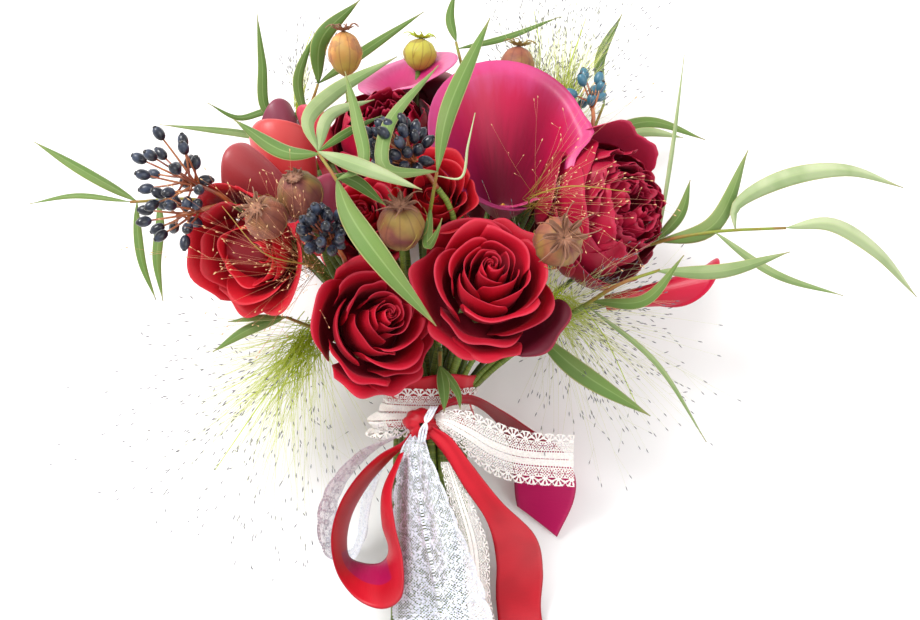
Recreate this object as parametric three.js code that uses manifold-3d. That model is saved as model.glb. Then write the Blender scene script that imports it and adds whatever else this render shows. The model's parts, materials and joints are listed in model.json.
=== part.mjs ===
// A hand-tied bridal bouquet that lies on a table: roses, peonies, callas, love-in-a-mist pods,
// laurustinus berries, willow eucalyptus and fountain grass on a bundle of stems, with a satin
// band, a lace band and their ribbons round the binding.
//
// The bouquet is drawn upright (x right, y from the binding up to the head, z towards the
// viewer) and is then laid on its back. Sizes are in millimetres.
import * as THREE from "three";
import { mergeVertices } from "three/addons/utils/BufferGeometryUtils.js";
import Module from "manifold-3d";

const wasm = await Module();
wasm.setup();

// Driving dimensions
const PIXEL = 0.55; // size of a pixel of the 920 x 620 picture in the plane of the binding
const VIEW_DISTANCE = 720; // from that plane to the eye
const PICTURE_CENTRE = [460, 310];
const BINDING_PIXEL = [430, 400];
const GAP = 0.3; // between two pieces that touch
const BAND_SIDES = 12; // of the binding and the bands round it
const SEAT = 0.35; // from the end of a stem to what it carries
const THIN = 0.9; // thickness of a petal or a ribbon
const HANDLE_LENGTH = 150; // from the binding down to the cut ends
const STEM_PITCH = 5.1; // between two stems where they are tied
const BUNDLE_RADIUS = 22; // of the stems where they are tied
const SPIRAL_TURN = 0.4; // radians that the stems turn between the binding and their ends
const SPREAD = 1.25; // of the cut ends against the binding
const FLOWER_STEM = 2.4; // radius of the stem of a rose, peony or calla
const FINE_STEM = 1.6; // radius of every other stem
const LEAN = THREE.MathUtils.degToRad(13.6); // of the stems, once the head and the cut ends rest
const FLOOR = 57.8; // from the binding down to the table, square to it

// A place seen at a pixel of the picture, at a depth in front of the binding
function at(px, py, depth) {
  const scale = PIXEL * (1 - depth / VIEW_DISTANCE);
  return new THREE.Vector3(
    (PICTURE_CENTRE[0] - BINDING_PIXEL[0]) * PIXEL + (px - PICTURE_CENTRE[0]) * scale,
    (BINDING_PIXEL[1] - PICTURE_CENTRE[1]) * PIXEL + (PICTURE_CENTRE[1] - py) * scale,
    depth,
  );
}

// Flowers: the pixel and depth of the middle, the way it faces, its radius and height
const ROSES = {
  rose_front_right: { middle: [487, 284, 56], aim: [0.1, 0.36, 0.93], radius: 34, height: 42, full: true },
  rose_front_left: { middle: [374, 326, 48], aim: [0.42, 0.2, 0.88], radius: 31, height: 40, full: true },
  rose_left: { middle: [243, 251, 36], aim: [-0.5, -0.32, 0.8], radius: 35, height: 34, full: true },
  rose_centre: { middle: [432, 196, 34], aim: [0.1, 0.4, 0.9], radius: 22, height: 36 },
  rose_middle: { middle: [366, 222, 8], aim: [-0.05, 0.3, 0.95], radius: 23, height: 36 },
  rose_back_left: { middle: [345, 218, -58], aim: [-0.35, 0.1, -0.93], radius: 33, height: 44 },
  rose_back_right: { middle: [515, 218, -58], aim: [0.35, 0.1, -0.93], radius: 33, height: 44 },
};
const PEONIES = {
  peony_right: { middle: [609, 206, -3], aim: [0.7, 0.12, 0.7], radius: 40, height: 52, full: true },
  peony_centre: { middle: [388, 136, -16], aim: [-0.1, 0.5, 0.86], radius: 31, height: 40 },
  peony_back: { middle: [430, 116, -69], aim: [0, 0.55, -0.83], radius: 31, height: 38 },
};
// Callas: the pixel and depth of the foot, the way the funnel runs and its tall lip leans. open is
// how late it widens, low how tall it is across from the lip, and close how far a bud draws in.
const BUD = { open: 0.5, close: 0.6 };
const CALLAS = {
  calla_big: {
    foot: [502, 214, -21], aim: [0.06, 0.65, 0.76], lip: [-0.16, 0.5, -0.85],
    radius: 48.5, height: 81, open: 0.8,
  },
  calla_top: {
    foot: [402, 104, -44], aim: [-0.21, 0.87, 0.41], lip: [0.75, 0.45, -0.23],
    radius: 37, height: 26, low: 0.6,
  },
  calla_side: { foot: [606, 304, -12], aim: [0.98, 0.1, 0.15], lip: [0, 0.8, 0.5], radius: 15, height: 66 },
  calla_left_high: {
    foot: [305, 205, -12], aim: [-0.36, 0.93, 0.05], lip: [-0.5, 0, 0.8], radius: 21, height: 60, ...BUD,
  },
  calla_left_mid: {
    foot: [300, 215, 8], aim: [-0.76, 0.58, 0.28], lip: [0, 0.4, 0.9], radius: 17, height: 62, ...BUD,
  },
  calla_left_low: {
    foot: [322, 234, 24], aim: [0, 0.93, 0.36], lip: [0.5, 0.3, 0.8], radius: 14, height: 41, ...BUD,
  },
  calla_left_far: {
    foot: [300, 172, -34], aim: [-0.38, 0.92, 0.05], lip: [0.5, 0, 0.8], radius: 12, height: 50, ...BUD,
  },
  calla_left_tip: {
    foot: [330, 160, -26], aim: [-0.38, 0.92, 0.1], lip: [-0.5, 0, 0.8], radius: 9, height: 40, ...BUD,
  },
};
const PODS = {
  pod_top_left: { middle: [345, 56, -8], aim: [-0.05, 0.97, 0.2], radius: 9.5 },
  pod_top: { middle: [420, 52, -36], aim: [0.1, 0.97, 0.1], radius: 10.5 },
  pod_top_right: { middle: [516, 52, -34], aim: [0.1, 0.97, 0.1], radius: 10 },
  pod_centre: { middle: [401, 226, 60], aim: [0, 0.72, 0.69], radius: 12 },
  pod_left: { middle: [266, 218, 66], aim: [-0.3, 0.35, 0.88], radius: 11 },
  pod_left_high: { middle: [300, 194, 58], aim: [-0.15, 0.6, 0.78], radius: 12 },
  pod_right: { middle: [558, 241, 58], aim: [0.14, 0.1, 0.98], radius: 12 },
  pod_back: { middle: [430, 226, -60], aim: [0, 0.1, -1], radius: 11 },
};
// Berries: where the stalk forks, then the middle, radius and number of each cluster
const BERRIES = {
  berries_left: { fork: [232, 204, 40], clusters: [[172, 172, 56, 21, 8], [170, 218, 54, 17, 5]] },
  berries_centre_left: { fork: [346, 266, 38], clusters: [[322, 228, 84, 14, 7]] },
  berries_centre: { fork: [437, 188, 52], clusters: [[395, 146, 64, 18, 9]] },
  berries_right: { fork: [592, 128, -34], clusters: [[590, 90, -34, 12, 5]] },
};

// Leafy stems: the twig and each leaf, root first, as pixels and depths; width is in pixels
const BRANCHES = {
  leaves_front: {
    twig: [[362, 262, 22], [356, 226, 50], [340, 186, 84], [318, 152, 80]],
    leaves: [
      { width: 22, spine: [[335, 180, 86], [350, 215, 96], [385, 265, 104], [436, 326, 96]] },
      { width: 15, spine: [[320, 150, 78], [308, 120, 70], [334, 92, 58], [397, 57, 40]] },
      { width: 12, spine: [[362, 165, 86], [357, 120, 76], [345, 72, 60]] },
      { width: 18, spine: [[308, 153, 80], [360, 166, 90], [422, 190, 90]] },
      { width: 15, spine: [[318, 156, 80], [285, 152, 74], [234, 120, 58]] },
      { width: 8, spine: [[320, 146, 80], [350, 131, 68], [382, 116, 56]] },
      { width: 12, spine: [[316, 140, 80], [330, 115, 62], [374, 100, 46]] },
      { width: 12, spine: [[334, 176, 84], [356, 182, 76], [386, 206, 72]] },
    ],
  },
  leaves_centre: {
    twig: [[425, 240, 14], [430, 212, 50], [437, 172, 68]],
    leaves: [
      { width: 13, spine: [[385, 168, 84], [387, 128, 76], [438, 66, 46]] },
      { width: 17, spine: [[440, 172, 72], [447, 115, 66], [490, 18, 40]] },
      { width: 9, spine: [[428, 246, 66], [438, 230, 74], [442, 218, 76]] },
    ],
  },
  leaves_top_left: {
    twig: [[318, 170, -34], [306, 128, -34], [318, 84, -26]],
    leaves: [
      { width: 11, spine: [[268, 112, -30], [262, 62, -30], [257, 14, -30]] },
      { width: 18, spine: [[325, 78, -24], [321, 40, -24], [360, 0, -24]] },
      { width: 12, spine: [[322, 84, -30], [372, 46, -44], [424, 12, -50]] },
      { width: 8, spine: [[308, 118, -32], [270, 111, -30], [238, 118, -28], [207, 103, -24]] },
      { width: 11, spine: [[304, 122, -34], [298, 80, -32], [315, 33, -28]] },
      { width: 9, spine: [[290, 140, -34], [230, 132, -36], [160, 125, -34]] },
    ],
  },
  leaves_top: {
    twig: [[466, 120, -36], [464, 78, -42], [456, 42, -46]],
    leaves: [
      { width: 10, spine: [[455, 40, -50], [450, 18, -50], [455, -8, -50]] },
      { width: 8, spine: [[455, 52, -50], [505, 38, -50], [560, 17, -50]] },
    ],
  },
  leaves_left: {
    twig: [[262, 222, -4], [200, 200, 8], [130, 202, 14]],
    leaves: [
      { width: 12, spine: [[137, 192, 16], [88, 174, 12], [34, 142, 4]] },
      { width: 6, spine: [[124, 206, 14], [76, 196, 10], [30, 204, 4]] },
      { width: 9, spine: [[137, 222, 14], [142, 262, 16], [156, 300, 14]] },
      { width: 10, spine: [[160, 222, 16], [157, 262, 20], [163, 301, 20]] },
    ],
  },
  leaves_low_left: {
    twig: [[318, 330, 4], [286, 317, 12]],
    leaves: [
      { width: 11, spine: [[286, 317, 12], [248, 330, 14], [213, 352, 10]] },
      { width: 7, spine: [[286, 315, 14], [258, 318, 18], [228, 322, 18]] },
    ],
  },
  leaves_right: {
    twig: [[606, 262, -28], [655, 243, -10], [712, 232, 4], [786, 228, 10]],
    leaves: [
      { width: 18, spine: [[735, 208, 8], [780, 180, 12], [845, 170, 10], [903, 188, 2]] },
      { width: 17, spine: [[786, 228, 10], [830, 224, 14], [875, 250, 10], [916, 297, 0]] },
      { width: 18, spine: [[655, 243, -6], [712, 226, 4], [748, 150, 2]] },
      { width: 12, spine: [[652, 242, -8], [680, 214, -12], [690, 180, -18]] },
      { width: 9, spine: [[715, 240, 6], [775, 274, 14], [843, 296, 12]] },
      { width: 5, spine: [[662, 250, -12], [672, 150, -20], [684, 55, -26]] },
    ],
  },
  leaves_low_right: {
    twig: [[584, 306, 16], [620, 284, 28], [660, 270, 30]],
    leaves: [
      { width: 14, spine: [[656, 270, 32], [722, 271, 34], [790, 252, 28]] },
      { width: 12, spine: [[592, 305, 20], [645, 300, 36], [684, 255, 44]] },
      { width: 6, spine: [[588, 312, 18], [655, 362, 20], [706, 442, 10]] },
    ],
  },
  leaves_bottom_right: {
    twig: [[500, 356, 8], [535, 332, 22]],
    leaves: [{ width: 20, spine: [[535, 330, 22], [575, 368, 28], [650, 416, 20]] }],
  },
  leaves_binding: {
    twig: [[440, 352, 22], [440, 366, 28]],
    leaves: [
      { width: 12, spine: [[440, 366, 29], [444, 390, 33], [444, 412, 36]] },
      { width: 9, spine: [[446, 368, 29], [458, 394, 32], [460, 410, 34]] },
    ],
  },
  leaves_peony: {
    twig: [[612, 160, -46], [618, 136, -44]],
    leaves: [{ width: 10, spine: [[618, 134, -44], [650, 132, -46], [683, 138, -50]] }],
  },
  leaves_back: {
    twig: [[556, 170, -44], [588, 140, -60], [604, 104, -64]],
    leaves: [
      { width: 14, spine: [[590, 146, -62], [650, 122, -70], [705, 140, -72]] },
      { width: 13, spine: [[604, 104, -64], [600, 60, -64], [622, 14, -60]] },
    ],
  },
};

// Grass: the stalk as pixels and depths, the number, length and side spread of its branches
const GRASSES = {
  grass_top_right: {
    stalk: [[560, 140, -42], [566, 80, -48], [586, 18, -46]],
    branches: 6, length: 62, spread: 1.0,
  },
  grass_top: {
    stalk: [[528, 130, -54], [540, 60, -60], [534, 10, -60]],
    branches: 5, length: 50, spread: 0.8,
  },
  grass_low_left: {
    stalk: [[316, 330, -6], [270, 390, -4], [215, 470, -12]],
    branches: 7, length: 95, spread: 0.8,
  },
  grass_low_right: {
    stalk: [[545, 318, 4], [590, 350, 2], [640, 420, -10]],
    branches: 7, length: 70, spread: 0.8,
  },
  grass_left: {
    stalk: [[318, 268, 8], [304, 264, 66], [262, 252, 94], [222, 206, 90]],
    branches: 7, length: 50, spread: 1.0,
  },
  grass_centre: {
    stalk: [[530, 208, 8], [534, 196, 62], [572, 186, 86], [630, 192, 82]],
    branches: 7, length: 48, spread: 1.0,
  },
  grass_top_left: {
    stalk: [[300, 120, -40], [300, 70, -44], [312, 30, -44]],
    branches: 5, length: 30, spread: 0.7,
  },
};

// Ribbons: both edges as pixels and depths, from the knot to the end
const RIBBONS = {
  cotton_end: {
    kind: "lace",
    left: [
      [436, 414, 31], [452, 409, 34], [470, 411, 34], [492, 420, 29], [524, 430, 20], [574, 434, 6],
    ],
    right: [
      [436, 424, 34], [448, 438, 34], [469, 457, 28], [490, 474, 18], [516, 483, 6], [574, 487, -8],
    ],
  },
  satin_tail: {
    kind: "satin",
    left: [
      [426, 434, 33], [444, 455, 33], [464, 487, 32], [486, 520, 24], [496, 560, 2],
      [496, 600, -16], [502, 650, -17], [514, 722, -10],
    ],
    right: [
      [434, 426, 36], [450, 436, 36], [470, 462, 36], [500, 500, 30], [536, 537, 6],
      [543, 572, -14], [541, 610, -22], [548, 650, -20], [564, 730, -10],
    ],
  },
  satin_loop: {
    kind: "satin",
    left: [
      [414, 430, 31], [404, 442, 33], [380, 455, 34], [356, 478, 32], [338, 508, 28],
      [331, 541, 24], [338, 575, 22], [358, 600, 24], [382, 609, 30], [401, 598, 40],
      [403, 562, 46], [395, 525, 46], [392, 490, 42], [404, 452, 35],
    ],
    right: [
      [414, 431, 27], [405, 444, 25], [388, 462, 14], [368, 486, 6], [352, 515, 2], [347, 541, -1],
      [349, 566, -3], [362, 582, 0], [380, 586, 8], [389, 580, 18], [389, 556, 25], [382, 525, 26],
      [382, 492, 26], [398, 456, 27],
    ],
  },
  satin_end: {
    kind: "satin",
    left: [
      [433, 411, 28], [448, 399, 31], [470, 395, 30], [503, 411, 24], [532, 430, 10],
      [560, 448, -4], [575, 476, -16], [574, 500, -26], [557, 537, -36],
    ],
    right: [
      [433, 417, 27], [449, 407, 27], [470, 404, 18], [494, 420, 0], [506, 440, -14],
      [512, 460, -22], [514, 480, -30], [515, 495, -34], [517, 506, -38],
    ],
  },
  silver_tail: {
    kind: "silver",
    left: [
      [412, 434, 33], [406, 450, 33], [403, 480, 34], [401, 520, 35], [402, 560, 36],
      [403, 610, 36], [400, 660, 34], [396, 710, 12], [394, 750, -4],
    ],
    right: [
      [424, 434, 33], [428, 450, 34], [440, 480, 35], [456, 520, 36], [466, 560, 36],
      [478, 610, 36], [488, 660, 34], [496, 710, 12], [504, 750, -4],
    ],
  },
  cotton_tail: {
    kind: "lace",
    left: [
      [440, 462, 30], [448, 500, 31], [458, 545, 31], [466, 600, 31], [474, 660, 26],
      [482, 730, -9],
    ],
    right: [
      [456, 462, 29], [472, 500, 28], [488, 545, 14], [491, 600, -6], [505, 660, -17],
      [520, 730, -12],
    ],
  },
  silver_loop: {
    kind: "silver",
    left: [
      [412, 426, 30], [396, 436, 29], [362, 450, 22], [328, 486, 12], [317, 522, 4], [326, 556, -4],
      [350, 562, -10], [366, 540, -6], [372, 505, 2], [386, 464, 12],
    ],
    right: [
      [412, 427, 27], [397, 437, 25], [370, 456, 2], [344, 490, -12], [336, 524, -20],
      [340, 546, -28], [352, 548, -34], [358, 530, -30], [362, 500, -22], [372, 464, -10],
    ],
  },
};

// Colour and roughness of each kind of piece
const COLOURS = {
  rose: [0xb81228, 0.5],
  peony: [0x8c1230, 0.55],
  calla: [0xb0144c, 0.35],
  pod: [0xa8794a, 0.6],
  berry: [0x25304a, 0.25],
  leaf: [0x7fae5a, 0.55],
  grass: [0xb9bd6a, 0.7],
  stem: [0x5c7a2e, 0.6],
  satin: [0xc41f33, 0.3],
  lace: [0xf1e9e4, 0.85],
  silver: [0xd8d4da, 0.7],
};

// Seeded numbers from 0 to 1, the same on each run
function chance(seed, index) {
  const value = Math.sin(seed * 12.9898 + index * 78.233) * 43758.5453;
  return value - Math.floor(value);
}

function point(list) {
  return at(...list);
}

function vector(list) {
  return new THREE.Vector3(...list).normalize();
}

function lineOf(list) {
  return new THREE.CatmullRomCurve3(list.map(point));
}

function polar(radius, angle, height) {
  return new THREE.Vector3(radius * Math.cos(angle), radius * Math.sin(angle), height);
}

// Solids

function solidOf(geometry) {
  const bare = new THREE.BufferGeometry().setAttribute("position", geometry.getAttribute("position"));
  bare.setIndex(geometry.getIndex());
  const merged = mergeVertices(bare, 1e-4);
  const triVerts = new Uint32Array(merged.index.array);
  const vertProperties = new Float32Array(merged.attributes.position.array);
  const made = new wasm.Manifold(new wasm.Mesh({ numProp: 3, vertProperties, triVerts }));
  if (made.volume() > 0) return made;
  for (let i = 0; i < triVerts.length; i += 3) triVerts.subarray(i, i + 2).reverse();
  return new wasm.Manifold(new wasm.Mesh({ numProp: 3, vertProperties, triVerts }));
}

function join(solids) {
  return solids.reduce((whole, solid) => whole.add(solid));
}

function geometryOf(points, triangles) {
  const geometry = new THREE.BufferGeometry().setFromPoints(points);
  return geometry.setIndex(triangles);
}

// A closed skin over rings with the same number of points, with a flat end at either side. `crossed`
// says which faces are split along their other diagonal, so that thin or star-shaped walls stay apart.
function skin(rings, crossed = () => false) {
  const sides = rings[0].length;
  const triangles = [];
  for (let ring = 0; ring < rings.length - 1; ring++) {
    for (let side = 0; side < sides; side++) {
      const a = ring * sides + side;
      const b = ring * sides + ((side + 1) % sides);
      if (crossed(ring, side)) triangles.push(a, b, a + sides, b, b + sides, a + sides);
      else triangles.push(a, b, b + sides, a, b + sides, a + sides);
    }
  }
  const last = (rings.length - 1) * sides;
  for (let side = 1; side < sides - 1; side++) {
    triangles.push(0, side + 1, side, last, last + side, last + side + 1);
  }
  return solidOf(geometryOf(rings.flat(), triangles));
}

// A tube of changing radius along points; `start` and `end` may say which way its ends face
function tube(points, radii, sides, swell, { start, end } = {}) {
  const first = new THREE.Vector3(0.31, 0.17, 0.93);
  const rings = points.map((centre, k) => {
    const before = points[Math.max(k - 1, 0)];
    const after = points[Math.min(k + 1, points.length - 1)];
    const straight = after.clone().sub(before).normalize();
    const along = (k === 0 && start) || (k === points.length - 1 && end) || straight;
    first.addScaledVector(along, -first.dot(along)).normalize();
    const second = along.clone().cross(first);
    const outwards = (k === points.length - 1) - (k === 0);
    const moved = centre.clone().addScaledVector(along, outwards * swell);
    return Array.from({ length: sides }, (_, side) => {
      const angle = (side / sides) * 2 * Math.PI;
      return moved
        .clone()
        .addScaledVector(first, (radii[k] + swell) * Math.cos(angle))
        .addScaledVector(second, (radii[k] + swell) * Math.sin(angle));
    });
  });
  return skin(rings);
}

// A closed shell over a grid of places, u and t from 0 to 1, half its thickness to either side
function shell(place, [across, along], thick, swell) {
  const grid = [];
  for (let j = 0; j <= along; j++) {
    grid.push(Array.from({ length: across + 1 }, (_, i) => place(i / across, j / along)));
  }
  const cell = (i, j) => grid[Math.min(Math.max(j, 0), along)][Math.min(Math.max(i, 0), across)];
  const front = [];
  const back = [];
  for (let j = 0; j <= along; j++) {
    for (let i = 0; i <= across; i++) {
      const sideways = cell(i + 1, j).clone().sub(cell(i - 1, j)).normalize();
      const onwards = cell(i, j + 1).clone().sub(cell(i, j - 1)).normalize();
      const normal = sideways.clone().cross(onwards).normalize();
      const centre = cell(i, j)
        .clone()
        .addScaledVector(sideways, swell * ((i === across) - (i === 0)))
        .addScaledVector(onwards, swell * ((j === along) - (j === 0)));
      front.push(centre.clone().addScaledVector(normal, thick / 2 + swell));
      back.push(centre.clone().addScaledVector(normal, -thick / 2 - swell));
    }
  }
  const behind = front.length;
  const index = (i, j) => j * (across + 1) + i;
  const triangles = [];
  const quad = (a, b, c, d) => triangles.push(a, b, c, a, c, d);
  for (let j = 0; j < along; j++) {
    for (let i = 0; i < across; i++) {
      const corners = [index(i, j), index(i + 1, j), index(i + 1, j + 1), index(i, j + 1)];
      quad(...corners);
      const [a, b, c, d] = corners.map((corner) => corner + behind);
      triangles.push(a, c, b, a, d, c);
    }
  }
  const rim = [];
  for (let i = 0; i < across; i++) rim.push(index(i, 0));
  for (let j = 0; j < along; j++) rim.push(index(across, j));
  for (let i = across; i > 0; i--) rim.push(index(i, along));
  for (let j = along; j > 0; j--) rim.push(index(0, j));
  rim.forEach((a, k) => {
    const b = rim[(k + 1) % rim.length];
    quad(b, a, a + behind, b + behind);
  });
  return solidOf(geometryOf([...front, ...back], triangles));
}

// The frame of a flower: its axis along z, and x towards the side that `lip` names
function frameAt(foot, aim, lip = [0, 1, 0.01]) {
  const axis = vector(aim);
  const across = vector(lip);
  across.addScaledVector(axis, -across.dot(axis)).normalize();
  const third = axis.clone().cross(across);
  return new THREE.Matrix4().makeBasis(across, third, axis).setPosition(foot);
}

function turned(profile, sides, frame, swell) {
  const points = profile.map(([radius, height], k) => {
    const end = (k === profile.length - 1) - (k === 0);
    return new THREE.Vector2(radius ? radius + swell : 0, height + end * swell);
  });
  const geometry = new THREE.LatheGeometry(points, sides).rotateX(Math.PI / 2).applyMatrix4(frame);
  return solidOf(geometry);
}

// A petal: a patch of a cup round the flower's axis, thick in its middle and thin at its rim.
// `cup` is its outline from root to rim; side runs from -1 to 1 across the petal and t from 0
// at its root to 1 at its rim. The corners of its edge, in that order:
const PETAL_EDGE = [[-1, 0], [0, 0], [1, 0], [1, 0.5], [0.8, 0.94], [0, 1], [-0.8, 0.94], [-1, 0.5]];
const PETAL_ROOT = 1; // the corner in the middle of its root, which has some thickness
const PETAL_HEART = 1.6; // thickness in its middle

function petal(frame, { angle, half, cup, tuck, ruffle = 0 }, swell) {
  const place = (side, t) => {
    const wide = 0.4 + 0.6 * Math.sin(Math.min(1, t * 1.4) * Math.PI * 0.5) - 0.25 * t ** 4;
    const edge = cup.getPoint(t);
    const wave = ruffle * Math.sin(3 * side * Math.PI + angle * 7) * t * t;
    const out = edge.x + tuck * side + wave;
    return polar(out, angle + side * half * wide, edge.y + wave / 2).applyMatrix4(frame);
  };
  const centre = place(0, 0.55);
  const rim = PETAL_EDGE.map(([side, t]) => {
    const corner = place(side, t);
    return corner.addScaledVector(corner.clone().sub(centre).normalize(), swell);
  });
  const normal = rim[3].clone().sub(rim[7]).cross(rim[5].clone().sub(rim[PETAL_ROOT])).normalize();
  const lift = normal.multiplyScalar(PETAL_HEART / 2 + swell);
  const beside = (from, share) => from.clone().addScaledVector(lift, share);
  const corners = rim.length;
  const [front, back, rootBack] = [corners, corners + 1, corners + 2];
  const points = [...rim, beside(centre, 1), beside(centre, -1), beside(rim[PETAL_ROOT], -0.6)];
  points[PETAL_ROOT] = beside(rim[PETAL_ROOT], 0.6);
  const triangles = [0, rootBack, PETAL_ROOT, rootBack, 2, PETAL_ROOT];
  for (let k = 0; k < corners; k++) {
    const next = (k + 1) % corners;
    const behind = [k, next].map((corner) => (corner === PETAL_ROOT ? rootBack : corner));
    triangles.push(front, k, next, back, behind[1], behind[0]);
  }
  return solidOf(geometryOf(points, triangles));
}

// The outline of a cup: out from its root in the heart, up, and over at the rim
function cupOf(radius, height, { wide, tall, lean, root }) {
  return new THREE.CubicBezierCurve(
    new THREE.Vector2(root[0] * radius, root[1] * height),
    new THREE.Vector2(1.15 * wide * radius, root[1] * height),
    new THREE.Vector2(wide * radius, 0.7 * tall * height),
    new THREE.Vector2(lean * wide * radius, tall * height),
  );
}

function bloom({ middle, aim, radius, height }, heart, rings, swell) {
  const foot = point(middle).addScaledVector(vector(aim), -height / 2);
  const frame = frameAt(foot, aim);
  const core = heart.map(([out, up]) => [out * radius, up * height]);
  const pieces = [turned(core, 7, frame, swell)];
  rings.forEach((ring, level) => {
    const cup = cupOf(radius, height, ring);
    for (let k = 0; k < ring.count; k++) {
      const angle = ((k + 0.37 * level) / ring.count) * 2 * Math.PI;
      pieces.push(petal(frame, { ...ring, angle, cup, tuck: 0.05 * radius }, swell));
    }
  });
  return join(pieces);
}

// A rose: a bud in the middle and rings of petals that open outwards
const ROSE_HEART = [[0, 0], [0.15, 0], [0.37, 0.12], [0.27, 0.34], [0.22, 0.74], [0, 0.96]];
const ROSE_RINGS = [
  { count: 3, wide: 0.42, tall: 1, lean: 0.8, half: 1.06, root: [0.22, 0.28] },
  { count: 4, wide: 0.66, tall: 0.96, lean: 0.98, half: 0.84, root: [0.28, 0.18] },
  { count: 5, wide: 0.9, tall: 0.8, lean: 1.14, half: 0.7, root: [0.31, 0.1] },
];

function rose(size, swell) {
  return bloom(size, ROSE_HEART, size.full ? ROSE_RINGS : ROSE_RINGS.slice(1), swell);
}

// A peony: a dense heart of ruffled petals inside broad guard petals
const PEONY_HEART = [[0, 0], [0.16, 0], [0.5, 0.14], [0.6, 0.4], [0.42, 0.72], [0, 0.84]];
const PEONY_RINGS = [
  { count: 3, wide: 0.4, tall: 1.02, lean: 1.05, half: 0.5, ruffle: 2, root: [0.36, 0.62] },
  { count: 5, wide: 0.72, tall: 0.96, lean: 1.02, half: 0.42, ruffle: 2.4, root: [0.54, 0.36] },
  { count: 7, wide: 0.96, tall: 0.74, lean: 1.08, half: 0.47, ruffle: 1, root: [0.46, 0.16] },
];

function peony(size, swell) {
  return bloom(size, PEONY_HEART, size.full ? PEONY_RINGS : PEONY_RINGS.slice(1), swell);
}

// A calla: a funnel that opens from its neck, tall at its lip and low across from it
const CALLA_SIDES = 10;
const CALLA_BASE = 2.6; // radius where it meets its stem
const CALLA_NECK = 4.2; // radius where the funnel starts to open
const CALLA_STEPS = [0.1, 0.5, 1]; // from the neck to the rim

function calla({ foot, aim, lip, radius, height, open = 1.6, low = 0.4, close = 0 }, swell) {
  const frame = frameAt(point(foot), aim, lip);
  const place = (angle, step) => {
    const reach = step * (low + (1 - low) * Math.abs(Math.cos(angle / 2)) ** 1.4);
    const flare = CALLA_NECK + (radius - CALLA_NECK) * reach ** open * (1 - close * reach ** 4);
    return polar(flare, angle, height * (reach - 0.12 * reach ** 4));
  };
  const nudge = 0.01;
  const ringAt = (step, out) =>
    Array.from({ length: CALLA_SIDES }, (_, side) => {
      const angle = ((side + 0.5) / CALLA_SIDES) * 2 * Math.PI;
      const round = place(angle + nudge, step).sub(place(angle - nudge, step));
      const onwards = place(angle, step + nudge).sub(place(angle, step - nudge)).normalize();
      const normal = round.cross(onwards).normalize();
      const moved = place(angle, step).addScaledVector(normal, out * (THIN / 2 + swell));
      return moved.addScaledVector(onwards, step === 1 ? swell : 0).applyMatrix4(frame);
    });
  const base = Array.from({ length: CALLA_SIDES }, (_, side) =>
    polar(CALLA_BASE + swell, ((side + 0.5) / CALLA_SIDES) * 2 * Math.PI, -swell).applyMatrix4(frame));
  const outside = CALLA_STEPS.map((step) => ringAt(step, 1));
  const inside = CALLA_STEPS.map((step) => ringAt(step, -1)).reverse();
  return skin([base, ...outside, ...inside], (ring) => ring > CALLA_STEPS.length);
}

// A seed pod of love-in-a-mist: a ribbed balloon under a star of five horns. The outline is in
// radii across and in heights along.
const POD_SIDES = 10; // ribs and grooves by turns
const POD_HEIGHT = 2.3; // in radii
const POD_GROOVE = 0.86; // radius in a groove against that on a rib
const POD_SHAPE = [[0.16, 0], [0.72, 0.18], [1, 0.5], [0.7, 0.82], [0.2, 0.94]];
const POD_HORNS = { tip: 0.95, between: 0.2, level: 1.16 };
const POD_CROWN = { out: 0.12, level: 1 };

function pod({ middle, aim, radius }, swell) {
  const height = POD_HEIGHT * radius;
  const foot = point(middle).addScaledVector(vector(aim), -height / 2);
  const frame = frameAt(foot, aim);
  const ringAt = (even, odd, level) =>
    Array.from({ length: POD_SIDES }, (_, side) => {
      const out = (side % 2 ? odd : even) * radius + swell;
      return polar(out, (side / POD_SIDES) * 2 * Math.PI, height * level).applyMatrix4(frame);
    });
  const rings = POD_SHAPE.map(([out, level]) => ringAt(out, POD_GROOVE * out, level));
  const horns = ringAt(POD_HORNS.between, POD_HORNS.tip, POD_HORNS.level);
  const crown = ringAt(POD_CROWN.out, POD_CROWN.out, POD_CROWN.level);
  return skin([...rings, horns, crown], (ring, side) => side % 2);
}

// Berries: a stalk that forks into clusters of stalks, each with an oval berry at its end
const BERRY_RADIUS = 3.9;
const BERRY_LENGTH = 9;
const BERRY_STALKS = { fork: 1.5, cluster: 1, root: 0.45, neck: 0.6 }; // radii
const GOLDEN_TURN = 2.4; // radians between two that grow one after the other

function berries({ fork, clusters }, swell) {
  const start = point(fork);
  const pieces = [];
  clusters.forEach(([px, py, depth, radius, count], cluster) => {
    const middle = at(px, py, depth);
    const inner = start.clone().lerp(middle, 0.45);
    const outer = middle.clone().lerp(start, 0.1);
    pieces.push(tube([start, outer], [BERRY_STALKS.fork, BERRY_STALKS.cluster], 4, swell));
    for (let k = 0; k < count; k++) {
      const level = 1 - (2 * (k + 0.5)) / count;
      const way = polar(Math.sqrt(1 - level * level), k * GOLDEN_TURN + cluster, level);
      const reach = radius * (0.78 + 0.22 * chance(k, cluster + count));
      const root = inner.clone().lerp(outer, (k + 0.5) / count);
      const grow = middle.clone().addScaledVector(way, reach).sub(root);
      const long = grow.length();
      const along = [0, long - BERRY_LENGTH / 2, long, long + BERRY_LENGTH / 2];
      const places = along.map((far) => root.clone().addScaledVector(grow, far / long));
      const radii = [BERRY_STALKS.root, BERRY_STALKS.neck, BERRY_RADIUS, 0.8];
      pieces.push(tube(places, radii, 4, swell));
    }
  });
  return join(pieces);
}

// A leafy stem: a twig, and long leaves with a ridge on one side, each rooted in the twig
const ROOT_REACH = 8; // a leaf that starts nearer the twig than this starts in it
const LEAF_STEPS = [0, 0.14, 0.42, 0.74, 1];

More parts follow.
